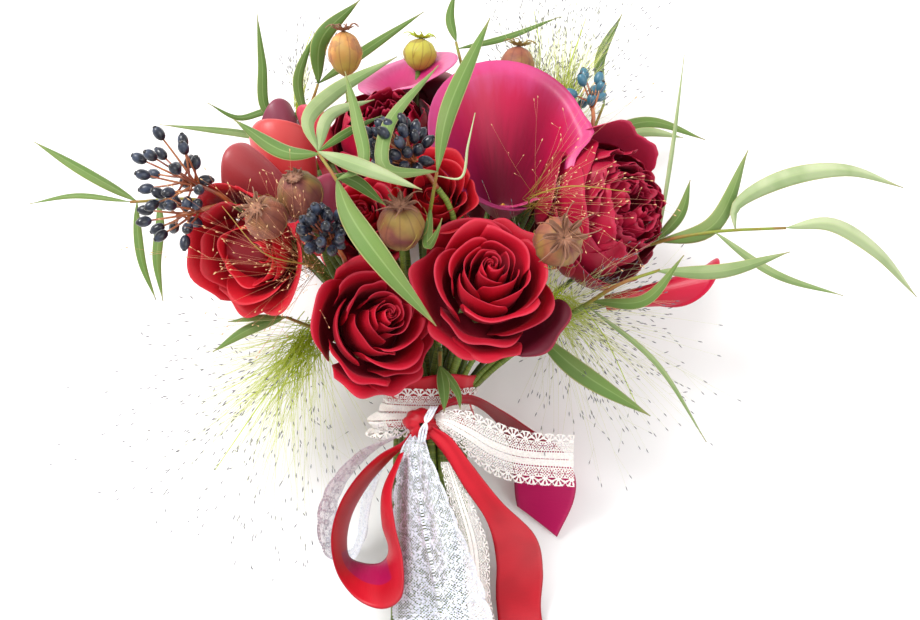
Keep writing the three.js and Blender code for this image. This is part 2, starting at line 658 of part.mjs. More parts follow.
function twigOf(line, radius, taper, sides, swell) {
  const places = line.getPoints(4);
  const radii = places.map((_, k) => radius - taper * k);
  return tube(places, radii, sides, swell, { start: line.getTangent(0) });
}

function branch({ twig, leaves }, swell) {
  const line = lineOf(twig);
  const pieces = [twigOf(line, 1.3, 0.12, 4, swell)];
  for (const { width, spine } of leaves) {
    const places = spine.map(point);
    const [joint] = line.getPoints(40).sort((a, b) => a.distanceTo(places[0]) - b.distanceTo(places[0]));
    if (joint.distanceTo(places[0]) < ROOT_REACH) places.shift();
    pieces.push(leaf([joint, ...places], width * PIXEL, swell));
  }
  return join(pieces);
}

function leaf(spine, width, swell) {
  const curve = new THREE.CatmullRomCurve3(spine);
  const rings = LEAF_STEPS.map((t) => {
    const centre = curve.getPointAt(t);
    const along = curve.getTangentAt(t);
    const side = along.clone().cross(new THREE.Vector3(0.15, 0.2, 1)).normalize();
    const up = side.clone().cross(along).normalize();
    const half = Math.max((width / 2) * Math.sin(Math.PI * t ** 0.8), 0.5) + swell;
    const moved = centre.addScaledVector(along, swell * ((t === 1) - (t === 0)));
    return [
      moved.clone().addScaledVector(side, half).addScaledVector(up, -0.3 - swell),
      moved.clone().addScaledVector(up, 0.8 + swell),
      moved.clone().addScaledVector(side, -half).addScaledVector(up, -0.3 - swell),
    ];
  });
  return skin(rings);
}

// Fountain grass: a stalk with fine branches, each swelling into seeds
const SEED_RADIUS = 0.9;
const SEED_LENGTH = 3;
const STRAW_RADIUS = 0.45;

function grass({ stalk, branches, length, spread }, swell, seed) {
  const line = lineOf(stalk);
  const pieces = [twigOf(line, 1.1, 0.1, 3, swell)];
  for (let k = 0; k < branches; k++) {
    const t = 0.12 + (0.83 * k) / branches;
    const start = line.getPoint(t);
    const along = line.getTangent(t);
    const side = along.clone().cross(new THREE.Vector3(0, 0, 1)).normalize();
    const up = side.clone().cross(along);
    const turn = k * GOLDEN_TURN + seed;
    const way = along
      .clone()
      .addScaledVector(side, spread * Math.cos(turn))
      .addScaledVector(up, 0.45 * spread * Math.sin(turn))
      .normalize();
    const reach = length * (0.7 + 0.3 * chance(seed, k));
    const steps = [0, reach - SEED_LENGTH, reach];
    const straw = steps.map((step) => start.clone().addScaledVector(way, step));
    pieces.push(tube(straw, [STRAW_RADIUS, SEED_RADIUS, 0.3], 3, swell));
  }
  return join(pieces);
}

// A ribbon between its two edges
function ribbon({ left, right }, swell) {
  const edges = [left, right].map((edge) => new THREE.CatmullRomCurve3(edge.map(point)));
  const place = (u, t) => edges[0].getPoint(t).lerp(edges[1].getPoint(t), u);
  return shell(place, [1, left.length + 1], THIN, swell);
}

// Stems: each runs from the foot of what it carries, through the binding, to a cut end

function tips() {
  const tipUnder = (place, aim, below, radius) => ({
    tip: place.clone().addScaledVector(aim, -below - SEAT),
    aim,
    radius,
  });
  const flowers = [...Object.values(ROSES), ...Object.values(PEONIES)].map(({ middle, aim, height }) =>
    tipUnder(point(middle), vector(aim), height / 2, FLOWER_STEM));
  const callas = Object.values(CALLAS).map(({ foot, aim }) =>
    tipUnder(point(foot), vector(aim), 0, FLOWER_STEM));
  const pods = Object.values(PODS).map(({ middle, aim, radius }) =>
    tipUnder(point(middle), vector(aim), (POD_HEIGHT / 2) * radius, FINE_STEM));
  const forks = Object.values(BERRIES).map(({ fork, clusters }) => {
    const aim = at(...clusters[0].slice(0, 3)).sub(point(fork)).normalize();
    return tipUnder(point(fork), aim, 0, FINE_STEM);
  });
  const twigs = Object.values(BRANCHES).map(({ twig }) => twig);
  const stalks = Object.values(GRASSES).map(({ stalk }) => stalk);
  const fine = [...twigs, ...stalks].map((line) =>
    tipUnder(point(line[0]), lineOf(line).getTangent(0), 0, FINE_STEM));
  return [...flowers, ...callas, ...pods, ...forks, ...fine];
}

// Places of the stems in the binding: a close-packed bundle
const BUNDLE_SKIN = 2.8; // from the middle of the outermost stems to its outside

function slots() {
  const list = [];
  for (let row = -4; row <= 4; row++) {
    for (let column = -5; column <= 5; column++) {
      const x = (column + (row % 2) / 2) * STEM_PITCH;
      const z = row * STEM_PITCH * Math.sqrt(0.75);
      if (Math.hypot(x, z) < BUNDLE_RADIUS - BUNDLE_SKIN) list.push(new THREE.Vector3(x, 0, z));
    }
  }
  return list;
}

// The solid waist of the bundle, where the stems are pressed together
const WAIST = 12; // to either side of the binding
const SUNK = 2; // how deep each stem runs into the waist
const HANDLE_STEMS = 20; // that show below it

function stems(swell) {
  const free = slots();
  const across = (tip) => Math.hypot(tip.x, tip.z) / tip.y;
  const raised = new THREE.Matrix4().makeRotationX(-Math.PI / 2);
  const waist = [[0, -WAIST], [BUNDLE_RADIUS, -WAIST], [BUNDLE_RADIUS, WAIST], [0, WAIST]];
  const pieces = [turned(waist, BAND_SIDES, raised, swell)];
  for (const { tip, aim, radius } of tips().sort((a, b) => across(b.tip) - across(a.tip))) {
    const wish = new THREE.Vector3(tip.x, 0, tip.z).multiplyScalar(BUNDLE_RADIUS / Math.max(tip.y, 30));
    wish.clampLength(0, BUNDLE_RADIUS);
    free.sort((a, b) => a.distanceTo(wish) - b.distanceTo(wish));
    const slot = free.shift().clone().setY(WAIST - SUNK);
    const rise = new THREE.CubicBezierCurve3(
      slot,
      slot.clone().add(new THREE.Vector3(0.12 * tip.x, 0.3 * tip.y, 0.12 * tip.z)),
      tip.clone().addScaledVector(aim, -0.3 * tip.distanceTo(slot)),
      tip,
    );
    const [steps, sides] = radius === FLOWER_STEM ? [3, 4] : [2, 3];
    const points = rise.getPoints(steps);
    pieces.push(tube(points, points.map(() => radius), sides, swell, { end: aim }));
  }
  const outermost = slots().sort((a, b) => b.length() - a.length()).slice(0, HANDLE_STEMS);
  for (const slot of outermost) {
    const foot = slot.clone().applyAxisAngle(new THREE.Vector3(0, 1, 0), SPIRAL_TURN).multiplyScalar(SPREAD);
    foot.y = -HANDLE_LENGTH * (0.94 + 0.06 * chance(slot.x, slot.z));
    const top = slot.clone().setY(SUNK - WAIST);
    pieces.push(tube([foot, top], [FLOWER_STEM, FLOWER_STEM], 4, swell));
  }
  return join(pieces);
}

// Bands round the binding: sleeves that widen to either side of its waist, the satin one under
// the lace one. low and high are their lower and upper edges.
const SATIN_BAND = { radius: BUNDLE_RADIUS + 0.35, low: -14, high: 14 };
const LACE_BAND = { radius: BUNDLE_RADIUS + THIN + 0.75, low: -17, high: 6 };
const FLARE = { low: 1.5, high: 3.5 }; // how far out their edges stand

function band({ radius, low, high }, swell) {
  const outline = [[FLARE.low, low], [0, 0], [FLARE.high, high]];
  const side = (out) =>
    outline.map(([wide, y], k) => new THREE.Vector2(radius + wide + out, y + swell * (k - 1)));
  const ring = [...side(THIN + swell), ...side(-swell).reverse()];
  return solidOf(new THREE.LatheGeometry([...ring, ring[0]], BAND_SIDES));
}

const KNOT = { middle: [422, 424, 30], size: [10, 8, 5] };

function knot(swell) {
  const lump = new THREE.SphereGeometry(1, 8, 5).scale(...KNOT.size.map((half) => half + swell));
  return solidOf(lump.translate(...point(KNOT.middle).toArray()));
}

// Assembly: each piece keeps clear of the ones before it and is flat where it meets the table
const upright = new THREE.Group();
const placed = [];

function clear(make) {
  let solid = make(0);
  for (const other of placed) solid = solid.subtract(other);
  placed.push(make(GAP));
  solid = solid.trimByPlane([0, Math.sin(LEAN), Math.cos(LEAN)], -FLOOR);
  return solid.decompose().sort((a, b) => b.volume() - a.volume())[0];
}

function add(name, kind, make) {
  const { vertProperties, triVerts } = clear(make).getMesh();
  const geometry = new THREE.BufferGeometry();
  geometry.setAttribute("position", new THREE.BufferAttribute(vertProperties, 3));
  geometry.setIndex(new THREE.BufferAttribute(triVerts, 1));
  geometry.computeVertexNormals();
  const [color, roughness] = COLOURS[kind];
  const mesh = new THREE.Mesh(geometry, new THREE.MeshStandardMaterial({ color, roughness, metalness: 0 }));
  mesh.name = name;
  upright.add(mesh);
}

function addAll(list, kind, make) {
  Object.entries(list).forEach(([name, size], k) => {
    add(name, size.kind ?? kind, (swell) => make(size, swell, k + 1));
  });
}

add("stems", "stem", stems);
add("satin_band", "satin", (swell) => band(SATIN_BAND, swell));
add("lace_band", "lace", (swell) => band(LACE_BAND, swell));
add("satin_knot", "satin", knot);
addAll(ROSES, "rose", rose);
addAll(PEONIES, "peony", peony);
addAll(CALLAS, "calla", calla);
addAll(PODS, "pod", pod);
addAll(BERRIES, "berry", berries);
addAll(BRANCHES, "leaf", branch);
addAll(GRASSES, "grass", grass);
addAll(RIBBONS, null, ribbon);

// The bouquet laid on its back, its box standing on the table over the origin
upright.rotation.x = LEAN;
const group = new THREE.Group();
group.add(upright);
const box = new THREE.Box3().setFromObject(upright, true);
const centre = box.getCenter(new THREE.Vector3());
upright.position.set(-centre.x, -centre.y, -box.min.z);

export default group;
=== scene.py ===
"""The looks of a hand-tied bridal bouquet: every flower, leaf, berry, straw and ribbon is built
here in mesh code round the frame, with a procedural material of its own.

Shapes are worked out in millimetres in the bouquet's upright frame (x right, y from the binding
up to the head, z towards the viewer), and are then laid down in the frame's own place."""
import json
import math

import bpy
import numpy as np
from mathutils import Euler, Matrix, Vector

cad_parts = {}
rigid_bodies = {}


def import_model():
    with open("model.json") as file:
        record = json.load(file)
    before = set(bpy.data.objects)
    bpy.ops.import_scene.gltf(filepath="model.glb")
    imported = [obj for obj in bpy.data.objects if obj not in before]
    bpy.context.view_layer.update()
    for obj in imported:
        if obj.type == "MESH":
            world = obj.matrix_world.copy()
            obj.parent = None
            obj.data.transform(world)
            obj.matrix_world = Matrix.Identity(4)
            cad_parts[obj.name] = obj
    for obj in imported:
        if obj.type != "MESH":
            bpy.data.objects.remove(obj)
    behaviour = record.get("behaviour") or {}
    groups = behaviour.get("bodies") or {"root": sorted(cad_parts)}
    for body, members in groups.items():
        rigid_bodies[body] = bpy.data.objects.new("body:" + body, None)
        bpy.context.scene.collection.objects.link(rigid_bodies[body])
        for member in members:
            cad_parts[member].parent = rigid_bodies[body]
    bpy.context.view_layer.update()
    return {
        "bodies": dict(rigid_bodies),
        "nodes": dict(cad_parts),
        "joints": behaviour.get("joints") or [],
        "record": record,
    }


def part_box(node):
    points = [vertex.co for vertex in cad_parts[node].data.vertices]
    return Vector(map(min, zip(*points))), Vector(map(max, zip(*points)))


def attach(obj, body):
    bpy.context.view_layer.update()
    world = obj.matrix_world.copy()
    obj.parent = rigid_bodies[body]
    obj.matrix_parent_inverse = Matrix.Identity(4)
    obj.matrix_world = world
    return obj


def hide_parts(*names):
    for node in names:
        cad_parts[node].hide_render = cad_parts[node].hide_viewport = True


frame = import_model()

# Driving dimensions, in millimetres
PIXEL = 0.55  # size of a pixel of the 920 x 620 picture in the plane of the binding
VIEW_DISTANCE = 720.0  # from that plane to the eye
PICTURE_WIDTH = 920
PICTURE_CENTRE = (460, 310)
BINDING_PIXEL = (430, 400)
LEAN = math.radians(13.6)  # of the stems against the surface
FLOOR = 57.8  # from the binding down to the surface
HANDLE_LENGTH = 150.0
STEM_PITCH = 5.1
BUNDLE_RADIUS = 22.0
SPIRAL_TURN = 0.4
SPREAD = 1.08
FLOWER_STEM = 2.4
FINE_STEM = 1.6
BAND_FLARE = (1.5, 3.5)  # how far the lower and upper edges of a band stand out
GOLDEN_TURN = 2.39996  # radians between two petals that grow one after the other
STEM_FIT = 0.97  # how much thinner a stem is drawn than its solid

# How thick the sheets are that the pieces are made of
ROSE_PETAL = 0.36
PEONY_PETAL = 0.4
SEPAL = 0.5
SPATHE = 0.8
POD_SKIN = 0.4
POD_STAR = 0.3
LEAF_BLADE = 0.45
SATIN_CLOTH = 0.4
KNOT_CLOTH = 0.3

# Tints outside 0 to 1 set a part of a piece apart
STALK_TINT = -1.0  # twigs and the stalks of berries
PAINTED_LIGHT_TINT = -1.0  # painted light: a petal painted lighter, as one in full light
DARK_TINT = 2.0  # a petal painted nearly all dark wine
HORN_TINT = 2.0  # the star on a pod
SEED_TINT = 2.0
PINK_SEED_TINT = 3.0


def at(px, py, depth):
    """A place seen at a pixel of the picture, at a depth in front of the binding."""
    scale = PIXEL * (1 - depth / VIEW_DISTANCE)
    x = (PICTURE_CENTRE[0] - BINDING_PIXEL[0]) * PIXEL + (px - PICTURE_CENTRE[0]) * scale
    y = (BINDING_PIXEL[1] - PICTURE_CENTRE[1]) * PIXEL + (PICTURE_CENTRE[1] - py) * scale
    return np.array([x, y, depth], float)


# Where the binding lies in the frame: the satin band is a ring round it, a little wider above
low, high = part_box("satin_band")
SHIFT = np.array([
    500 * (low[0] + high[0]),
    500 * (low[1] + high[1]) - (BAND_FLARE[1] - BAND_FLARE[0]) / 2 * math.sin(LEAN),
    FLOOR,
])
LAY = np.array([
    [1, 0, 0],
    [0, math.cos(LEAN), -math.sin(LEAN)],
    [0, math.sin(LEAN), math.cos(LEAN)],
])


def laid(points):
    """Points of the upright frame, in millimetres, as points of the frame, in metres; none lies
    below the surface."""
    placed = (points @ LAY.T + SHIFT) / 1000
    placed[..., 2] = np.where(placed[..., 2] < 0, 0.02 * placed[..., 2] + 0.0002, placed[..., 2])
    return placed


# Flowers: pixel and depth of the middle, the way it faces, radius and height. eye is how far the
# heart lies off the axis, to the left and up in millimetres; loose says that few petals show;
# skirts are loose outermost petals, each with its angle, width and tint
ROSES = {
    "rose_front_right": dict(
        middle=(487, 284, 56), aim=(0.1, 0.36, 0.93), radius=34, height=42, eye=(-0.5, 3),
        skirts=((178, 0.9, 0.2), (150, 0.9, 0.5), (230, 1.04, DARK_TINT))),
    "rose_front_left": dict(
        middle=(374, 326, 48), aim=(0.42, 0.2, 0.88), radius=31, height=40, eye=(-2, 3.5),
        skirts=((165, 0.9, 0.2), (205, 0.9, 0.6))),
    "rose_left": dict(
        middle=(241, 248, 36), aim=(-0.5, -0.32, 0.8), radius=35, height=34, eye=(-15, -3), loose=True),
    "rose_centre": dict(
        middle=(432, 196, 34), aim=(0.1, 0.4, 0.9), radius=22, height=36, eye=(0, 0), loose=True),
    "rose_middle": dict(middle=(366, 222, 8), aim=(-0.05, 0.3, 0.95), radius=23, height=36, eye=(0, 0)),
    "rose_back_left": dict(
        middle=(345, 218, -58), aim=(-0.35, 0.1, -0.93), radius=33, height=44, eye=(1, 2)),
    "rose_back_right": dict(
        middle=(515, 218, -58), aim=(0.35, 0.1, -0.93), radius=33, height=44, eye=(-1, 1)),
}
# crest is a peony's tall smooth petals, each with its angle, width and height; they are painted
# lighter, as petals in full light
PEONIES = {
    "peony_right": dict(
        middle=(605, 209, -3), aim=(0.7, 0.12, 0.7), radius=40, height=52, petals=46,
        crest=((0.0, 1.08, 0.95), (-0.6, 1.02, 0.9))),
    "peony_centre": dict(middle=(388, 136, -16), aim=(-0.1, 0.5, 0.86), radius=31, height=40, petals=34),
    "peony_back": dict(middle=(430, 116, -69), aim=(0, 0.55, -0.83), radius=31, height=38, petals=34),
}
# Callas: pixel and depth of the foot, the way the funnel runs, where its tall lip leans; widen is
# how late it widens, low how tall it is across from the lip, and close how far a bud draws in
BUD = dict(widen=0.5, close=0.6)
CALLAS = {
    "calla_big": dict(
        foot=(502, 214, -21), aim=(0.06, 0.65, 0.76), lip=(-0.16, 0.5, -0.85), radius=48.5, height=81,
        widen=0.8),
    "calla_top": dict(
        foot=(402, 104, -44), aim=(-0.21, 0.87, 0.41), lip=(0.9, 0.36, -0.23), radius=37, height=22, low=0.6),
    "calla_side": dict(
        foot=(606, 303, -12), aim=(0.97, 0.17, 0.15), lip=(0.1, 0.8, 0.5), radius=14, height=76),
    "calla_left_high": dict(
        foot=(305, 205, -12), aim=(-0.36, 0.93, 0.05), lip=(-0.5, 0, 0.8), radius=21, height=60, **BUD),
    "calla_left_mid": dict(
        foot=(300, 215, 8), aim=(-0.76, 0.58, 0.28), lip=(0, 0.4, 0.9), radius=17, height=62, **BUD),
    "calla_left_low": dict(
        foot=(322, 234, 24), aim=(0, 0.93, 0.36), lip=(0.5, 0.3, 0.8), radius=14, height=41, **BUD),
    "calla_left_far": dict(
        foot=(300, 172, -34), aim=(-0.38, 0.92, 0.05), lip=(0.5, 0, 0.8), radius=12, height=50, **BUD),
    "calla_left_tip": dict(
        foot=(330, 160, -26), aim=(-0.38, 0.92, 0.1), lip=(-0.5, 0, 0.8), radius=9, height=40, **BUD),
}
# Pods: tint runs from wine at 0 to orange at 1 and olive above it, fresh is how green the star is,
# star how far it reaches, and tall how much longer the balloon is than most
PODS = {
    "pod_top_left": dict(middle=(345, 56, -8), aim=(-0.05, 0.97, 0.2), radius=9.5, tint=0.95, tall=1.16),
    "pod_top": dict(middle=(420, 51, -46), aim=(0.1, 0.97, 0.1), radius=9.8, tint=1.3, fresh=0.9, tall=0.85),
    "pod_top_right": dict(middle=(517, 65, -36), aim=(0.1, 0.97, 0.1), radius=10, tint=0.2, fresh=0.3),
    "pod_centre": dict(middle=(401, 226, 60), aim=(0, 0.72, 0.69), radius=12, tint=0.12),
    "pod_left": dict(middle=(266, 218, 66), aim=(-0.3, 0.35, 0.88), radius=11, tint=0.3),
    "pod_left_high": dict(middle=(300, 194, 58), aim=(-0.15, 0.6, 0.78), radius=12, tint=0.05, star=0.25),
    "pod_right": dict(middle=(558, 242, 58), aim=(0.14, 0.1, 0.98), radius=12.8, tint=0.22, star=1.45),
    "pod_back": dict(middle=(430, 226, -60), aim=(0, 0.1, -1), radius=11, tint=0.3),
}
# Berries: where the stalk forks, then the middle, radius and number of each cluster
BERRIES = {
    "berries_left": dict(fork=(232, 204, 40), clusters=[(172, 172, 56, 21, 20), (170, 218, 54, 17, 13)]),
    "berries_centre_left": dict(fork=(346, 266, 38), clusters=[(322, 228, 84, 13.5, 24)]),
    "berries_centre": dict(fork=(437, 188, 52), clusters=[(395, 146, 64, 18, 42)]),
    "berries_right": dict(fork=(592, 128, -34), clusters=[(590, 90, -34, 12, 9)]),
}
# Leafy stems: the twig, and each leaf as its width in pixels, its tint and its spine, root first
BRANCHES = {
    "leaves_front": dict(
        twig=[(362, 262, 22), (356, 226, 50), (340, 186, 84), (318, 152, 80)],
        leaves=[
            (22, 0.62, [(335, 180, 86), (350, 215, 96), (385, 265, 104), (436, 326, 96)]),
            (15, 0.80, [(320, 150, 78), (308, 120, 70), (334, 92, 58), (397, 57, 40)]),
            (12, 0.70, [(362, 165, 86), (357, 120, 76), (345, 72, 60)]),
            (15, 0.86, [(308, 153, 80), (360, 166, 90), (422, 190, 90)]),
            (15, 0.30, [(318, 156, 80), (285, 152, 74), (234, 120, 58)]),
            (8, 0.15, [(320, 146, 80), (350, 131, 68), (382, 116, 56)]),
            (12, 0.85, [(316, 140, 80), (330, 115, 62), (374, 100, 46)]),
            (12, 0.20, [(334, 176, 84), (356, 182, 76), (386, 206, 72)]),
        ],
    ),
    "leaves_centre": dict(
        twig=[(425, 240, 14), (430, 212, 50), (437, 172, 68)],
        leaves=[
            (13, 0.72, [(385, 168, 84), (387, 128, 76), (438, 66, 46)]),
            (17, 0.45, [(440, 172, 72), (447, 115, 66), (490, 18, 40)]),
            (9, 0.35, [(428, 246, 66), (438, 230, 74), (442, 218, 76)]),
            (2.5, 1.00, [(461, 178, 64), (468, 146, 66), (475, 113, 64)]),
        ],
    ),
    "leaves_top_left": dict(
        twig=[(318, 170, -34), (306, 128, -34), (318, 84, -26)],
        leaves=[
            (11, 0.32, [(268, 112, -30), (262, 62, -30), (257, 14, -30)]),
            (18, 0.22, [(325, 78, -24), (321, 40, -24), (360, 0, -24)]),
            (12, 0.34, [(322, 84, -30), (372, 46, -44), (424, 12, -50)]),
            (8, 0.25, [(308, 118, -32), (270, 111, -30), (238, 118, -28), (207, 103, -24)]),
            (11, 0.35, [(304, 122, -34), (298, 80, -32), (315, 33, -28)]),
            (9, 0.75, [(290, 140, -34), (230, 132, -36), (160, 125, -34)]),
        ],
    ),
    "leaves_top": dict(
        twig=[(466, 120, -36), (464, 78, -42), (456, 42, -46)],
        leaves=[
            (10, 0.35, [(455, 40, -50), (450, 18, -50), (455, -8, -50)]),
            (8, 0.30, [(455, 52, -50), (505, 38, -50), (560, 17, -50)]),
        ],
    ),
    "leaves_left": dict(
        twig=[(262, 222, -4), (200, 200, 8), (130, 202, 14)],
        leaves=[
            (12, 0.45, [(137, 192, 16), (88, 174, 12), (34, 142, 4)]),
            (6, 0.70, [(124, 206, 14), (76, 196, 10), (30, 204, 4)]),
            (9, 0.50, [(137, 222, 14), (142, 262, 16), (156, 300, 14)]),
            (10, 0.50, [(160, 222, 16), (157, 262, 20), (163, 301, 20)]),
        ],
    ),
    "leaves_low_left": dict(
        twig=[(318, 330, 4), (286, 317, 12)],
        leaves=[
            (11, 0.60, [(286, 317, 12), (248, 330, 14), (213, 352, 10)]),
            (7, 0.60, [(286, 315, 14), (258, 318, 18), (228, 322, 18)]),
        ],
    ),
    "leaves_right": dict(
        twig=[(606, 262, -28), (655, 243, -10), (712, 232, 4), (786, 228, 10)],
        leaves=[
            (18, 0.95, [(735, 208, 8), (780, 180, 12), (845, 170, 10), (903, 188, 2)]),
            (17, 0.92, [(786, 228, 10), (830, 224, 14), (875, 250, 10), (916, 297, 0)]),
            (18, 0.72, [(655, 243, -6), (712, 226, 4), (748, 150, 2)]),
            (12, 0.48, [(652, 242, -8), (680, 214, -12), (690, 180, -18)]),
            (9, 0.80, [(715, 240, 6), (775, 274, 14), (843, 296, 12)]),
            (5, 0.85, [(662, 250, -12), (672, 150, -20), (684, 55, -26)]),
        ],
    ),
    "leaves_low_right": dict(
        twig=[(584, 306, 16), (620, 284, 28), (660, 270, 30)],
        leaves=[
            (14, 0.80, [(656, 270, 32), (722, 271, 34), (790, 252, 28)]),
            (12, 0.62, [(592, 305, 20), (645, 300, 36), (684, 255, 44)]),
            (6, 0.80, [(588, 312, 18), (655, 362, 20), (706, 442, 10)]),
        ],
    ),
    "leaves_bottom_right": dict(
        twig=[(500, 356, 8), (535, 332, 22)],
        leaves=[(20, 0.45, [(535, 330, 22), (575, 368, 28), (650, 416, 20)])],
    ),
    "leaves_binding": dict(
        twig=[(440, 352, 22), (440, 366, 28)],
        leaves=[
            (12, 0.22, [(440, 366, 29), (444, 390, 33), (444, 412, 36)]),
            (9, 0.26, [(446, 368, 29), (458, 394, 32), (460, 410, 34)]),
        ],
    ),
    "leaves_peony": dict(
        twig=[(612, 160, -46), (618, 136, -44)],
        leaves=[(10, 0.85, [(618, 134, -44), (650, 132, -46), (683, 138, -50)])],
    ),
    "leaves_back": dict(
        twig=[(556, 170, -44), (588, 140, -60), (604, 104, -64)],
        leaves=[
            (14, 0.45, [(590, 146, -62), (650, 122, -70), (705, 140, -72)]),
            (13, 0.40, [(604, 104, -64), (600, 60, -64), (622, 14, -60)]),
        ],
    ),
}
# Grass: the stalk, the number, length and side spread of its straws, and how pink they are
GRASSES = {
    "grass_top_right": dict(
        stalk=[(560, 140, -42), (566, 80, -48), (586, 18, -46)], straws=260, length=62, spread=1.0, pink=0.0),
    "grass_top": dict(
        stalk=[(528, 130, -54), (540, 60, -60), (534, 10, -60)], straws=130, length=50, spread=0.8, pink=0.0),
    "grass_low_left": dict(
        stalk=[(316, 330, -6), (270, 390, -4), (215, 470, -12)], straws=210, length=95, spread=1.1, pink=0.0),
    "grass_low_right": dict(
        stalk=[(545, 318, 4), (557, 295, 6), (592, 318, 8), (640, 412, -6)],
        straws=270, length=78, spread=1.0, pink=0.0),
    "grass_left": dict(
        stalk=[(318, 268, 8), (304, 264, 66), (262, 252, 94), (222, 206, 90)],
        straws=52, length=52, spread=1.3, pink=1.0),
    "grass_centre": dict(
        stalk=[(530, 208, 8), (534, 196, 62), (572, 186, 86), (630, 192, 82)],
        straws=32, length=52, spread=1.3, pink=0.8),
    "grass_top_left": dict(
        stalk=[(300, 120, -40), (300, 70, -44), (312, 30, -44)], straws=50, length=30, spread=0.7, pink=0.1),
}
# Ribbons: flat width and length, and both edges from the knot to the end; cell is the size of a
# cell of a lace's mesh, folds are how deep, how many and how much they drift along it, and pleat is
# how deep its one sharp fold is
RIBBONS = {
    "cotton_end": dict(
        width=29, length=82, cell=0.27, folds=(0.6, 1.0, 5.0),
        left=[(436, 414, 31), (452, 409, 34), (470, 411, 34), (492, 420, 29), (524, 430, 20), (574, 434, 6)],
        right=[(436, 424, 34), (448, 438, 34), (469, 457, 28), (490, 474, 18), (516, 483, 6), (574, 487, -8)],
    ),
    "satin_tail": dict(
        width=25, length=175,
        left=[(426, 434, 33), (444, 455, 33), (464, 487, 32), (486, 520, 24), (496, 560, 2), (496, 600, -16),
              (502, 650, -17), (514, 722, -10)],
        right=[(434, 426, 36), (450, 436, 36), (470, 462, 36), (500, 500, 30), (536, 537, 6), (543, 572, -14),
               (541, 610, -22), (548, 650, -20), (564, 730, -10)],
    ),
    "satin_loop": dict(
        width=25, length=215,
        left=[(414, 430, 31), (404, 442, 33), (380, 455, 34), (356, 478, 32), (338, 508, 28), (331, 541, 24),
              (338, 575, 22), (358, 600, 24), (382, 609, 30), (401, 598, 40), (403, 562, 46), (395, 525, 46),
              (392, 490, 42), (404, 452, 35)],
        right=[(414, 431, 27), (405, 444, 25), (388, 462, 14), (368, 486, 6), (352, 515, 2), (347, 541, -1),
               (350, 557, 0), (364, 563, 2), (379, 563, 8), (387, 556, 17), (388, 545, 25), (382, 525, 26),
               (382, 492, 26), (398, 456, 27)],
    ),
    "satin_end": dict(
        width=25, length=105,
        left=[(433, 411, 28), (448, 399, 31), (470, 395, 30), (503, 411, 24), (532, 430, 10), (560, 448, -4),
              (575, 476, -16), (574, 500, -26), (557, 537, -36)],
        right=[(433, 417, 27), (449, 407, 27), (470, 404, 18), (494, 420, 0), (506, 440, -14),
               (512, 460, -22), (514, 480, -30), (515, 495, -34), (517, 506, -38)],
    ),
    "silver_tail": dict(
        width=46, length=178, cell=0.32, folds=(2.2, 2.4, 6.0), pleat=-3.5,
        left=[(410, 434, 33), (401, 450, 31), (395, 480, 27), (391, 520, 23), (390, 560, 21), (391, 610, 22),
              (390, 660, 26), (390, 710, 12), (390, 750, -4)],
        right=[(424, 434, 33), (428, 450, 34), (440, 480, 35), (456, 520, 36), (474, 560, 36), (492, 610, 34),
               (502, 660, 30), (508, 710, 12), (514, 750, -4)],
    ),
    "cotton_tail": dict(
        width=29, length=155, cell=0.32, folds=(0.3, 1.0, 5.0),
        left=[(440, 462, 30), (448, 500, 31), (458, 545, 31), (466, 600, 31), (474, 660, 26), (482, 730, -9)],
        right=[(456, 462, 29), (472, 500, 28), (488, 545, 14), (491, 600, -6), (505, 660, -17),
               (520, 730, -12)],
    ),
    "silver_loop": dict(
        width=30, length=150, cell=0.4, folds=(0.6, 2.0, 5.0),
        left=[(412, 426, 30), (396, 436, 29), (362, 450, 22), (328, 486, 12), (317, 522, 4), (326, 556, -4),
              (350, 562, -10), (366, 540, -6), (372, 505, 2), (386, 464, 12)],
        right=[(412, 427, 27), (397, 437, 25), (370, 456, 2), (344, 490, -12), (336, 524, -20),
               (340, 546, -28), (352, 548, -34), (358, 530, -30), (362, 500, -22), (372, 464, -10)],
    ),
}


# Small tools for points

def unit(vector):
    vector = np.asarray(vector, float)
    return vector / np.maximum(np.linalg.norm(vector, axis=-1, keepdims=True), 1e-9)


def smooth(low_edge, high_edge, value):
    """0 below low_edge, 1 above high_edge, and a smooth step between them."""
    part = np.clip((value - low_edge) / (high_edge - low_edge), 0, 1)
    return part * part * (3 - 2 * part)


def curve(points, steps):
    """A centripetal Catmull-Rom curve through points, at steps + 1 places."""
    points = np.array(points, float)
    first = 2 * points[0] - points[1]
    last = 2 * points[-1] - points[-2]
    knots = np.vstack([first, points, last])
    gaps = np.sum(np.diff(knots, axis=0) ** 2, axis=1) ** 0.25
    gaps = np.maximum(gaps, 1e-4)[:, None]
    where = np.linspace(0, len(points) - 1, steps + 1)
    part = np.minimum(where.astype(int), len(points) - 2)
    t = (where - part)[:, None]
    p0, p1, p2, p3 = (knots[part + k] for k in range(4))
    d0, d1, d2 = (gaps[part + k] for k in range(3))
    m1 = d1 * ((p1 - p0) / d0 - (p2 - p0) / (d0 + d1) + (p2 - p1) / d1)
    m2 = d1 * ((p2 - p1) / d1 - (p3 - p1) / (d1 + d2) + (p3 - p2) / d2)
    square = -3 * p1 + 3 * p2 - 2 * m1 - m2
    cube = 2 * p1 - 2 * p2 + m1 + m2
    return p1 + m1 * t + square * t ** 2 + cube * t ** 3


def even(points, steps):
    """The same curve with steps + 1 places at even distances."""
    fine = curve(points, 12 * len(points))
    run = np.concatenate([[0], np.cumsum(np.linalg.norm(np.diff(fine, axis=0), axis=1))])
    wish = np.linspace(0, run[-1], steps + 1)
    return np.stack([np.interp(wish, run, fine[:, k]) for k in range(3)], axis=1)


def normals(grid):
    return unit(np.cross(np.gradient(grid, axis=1), np.gradient(grid, axis=0)))


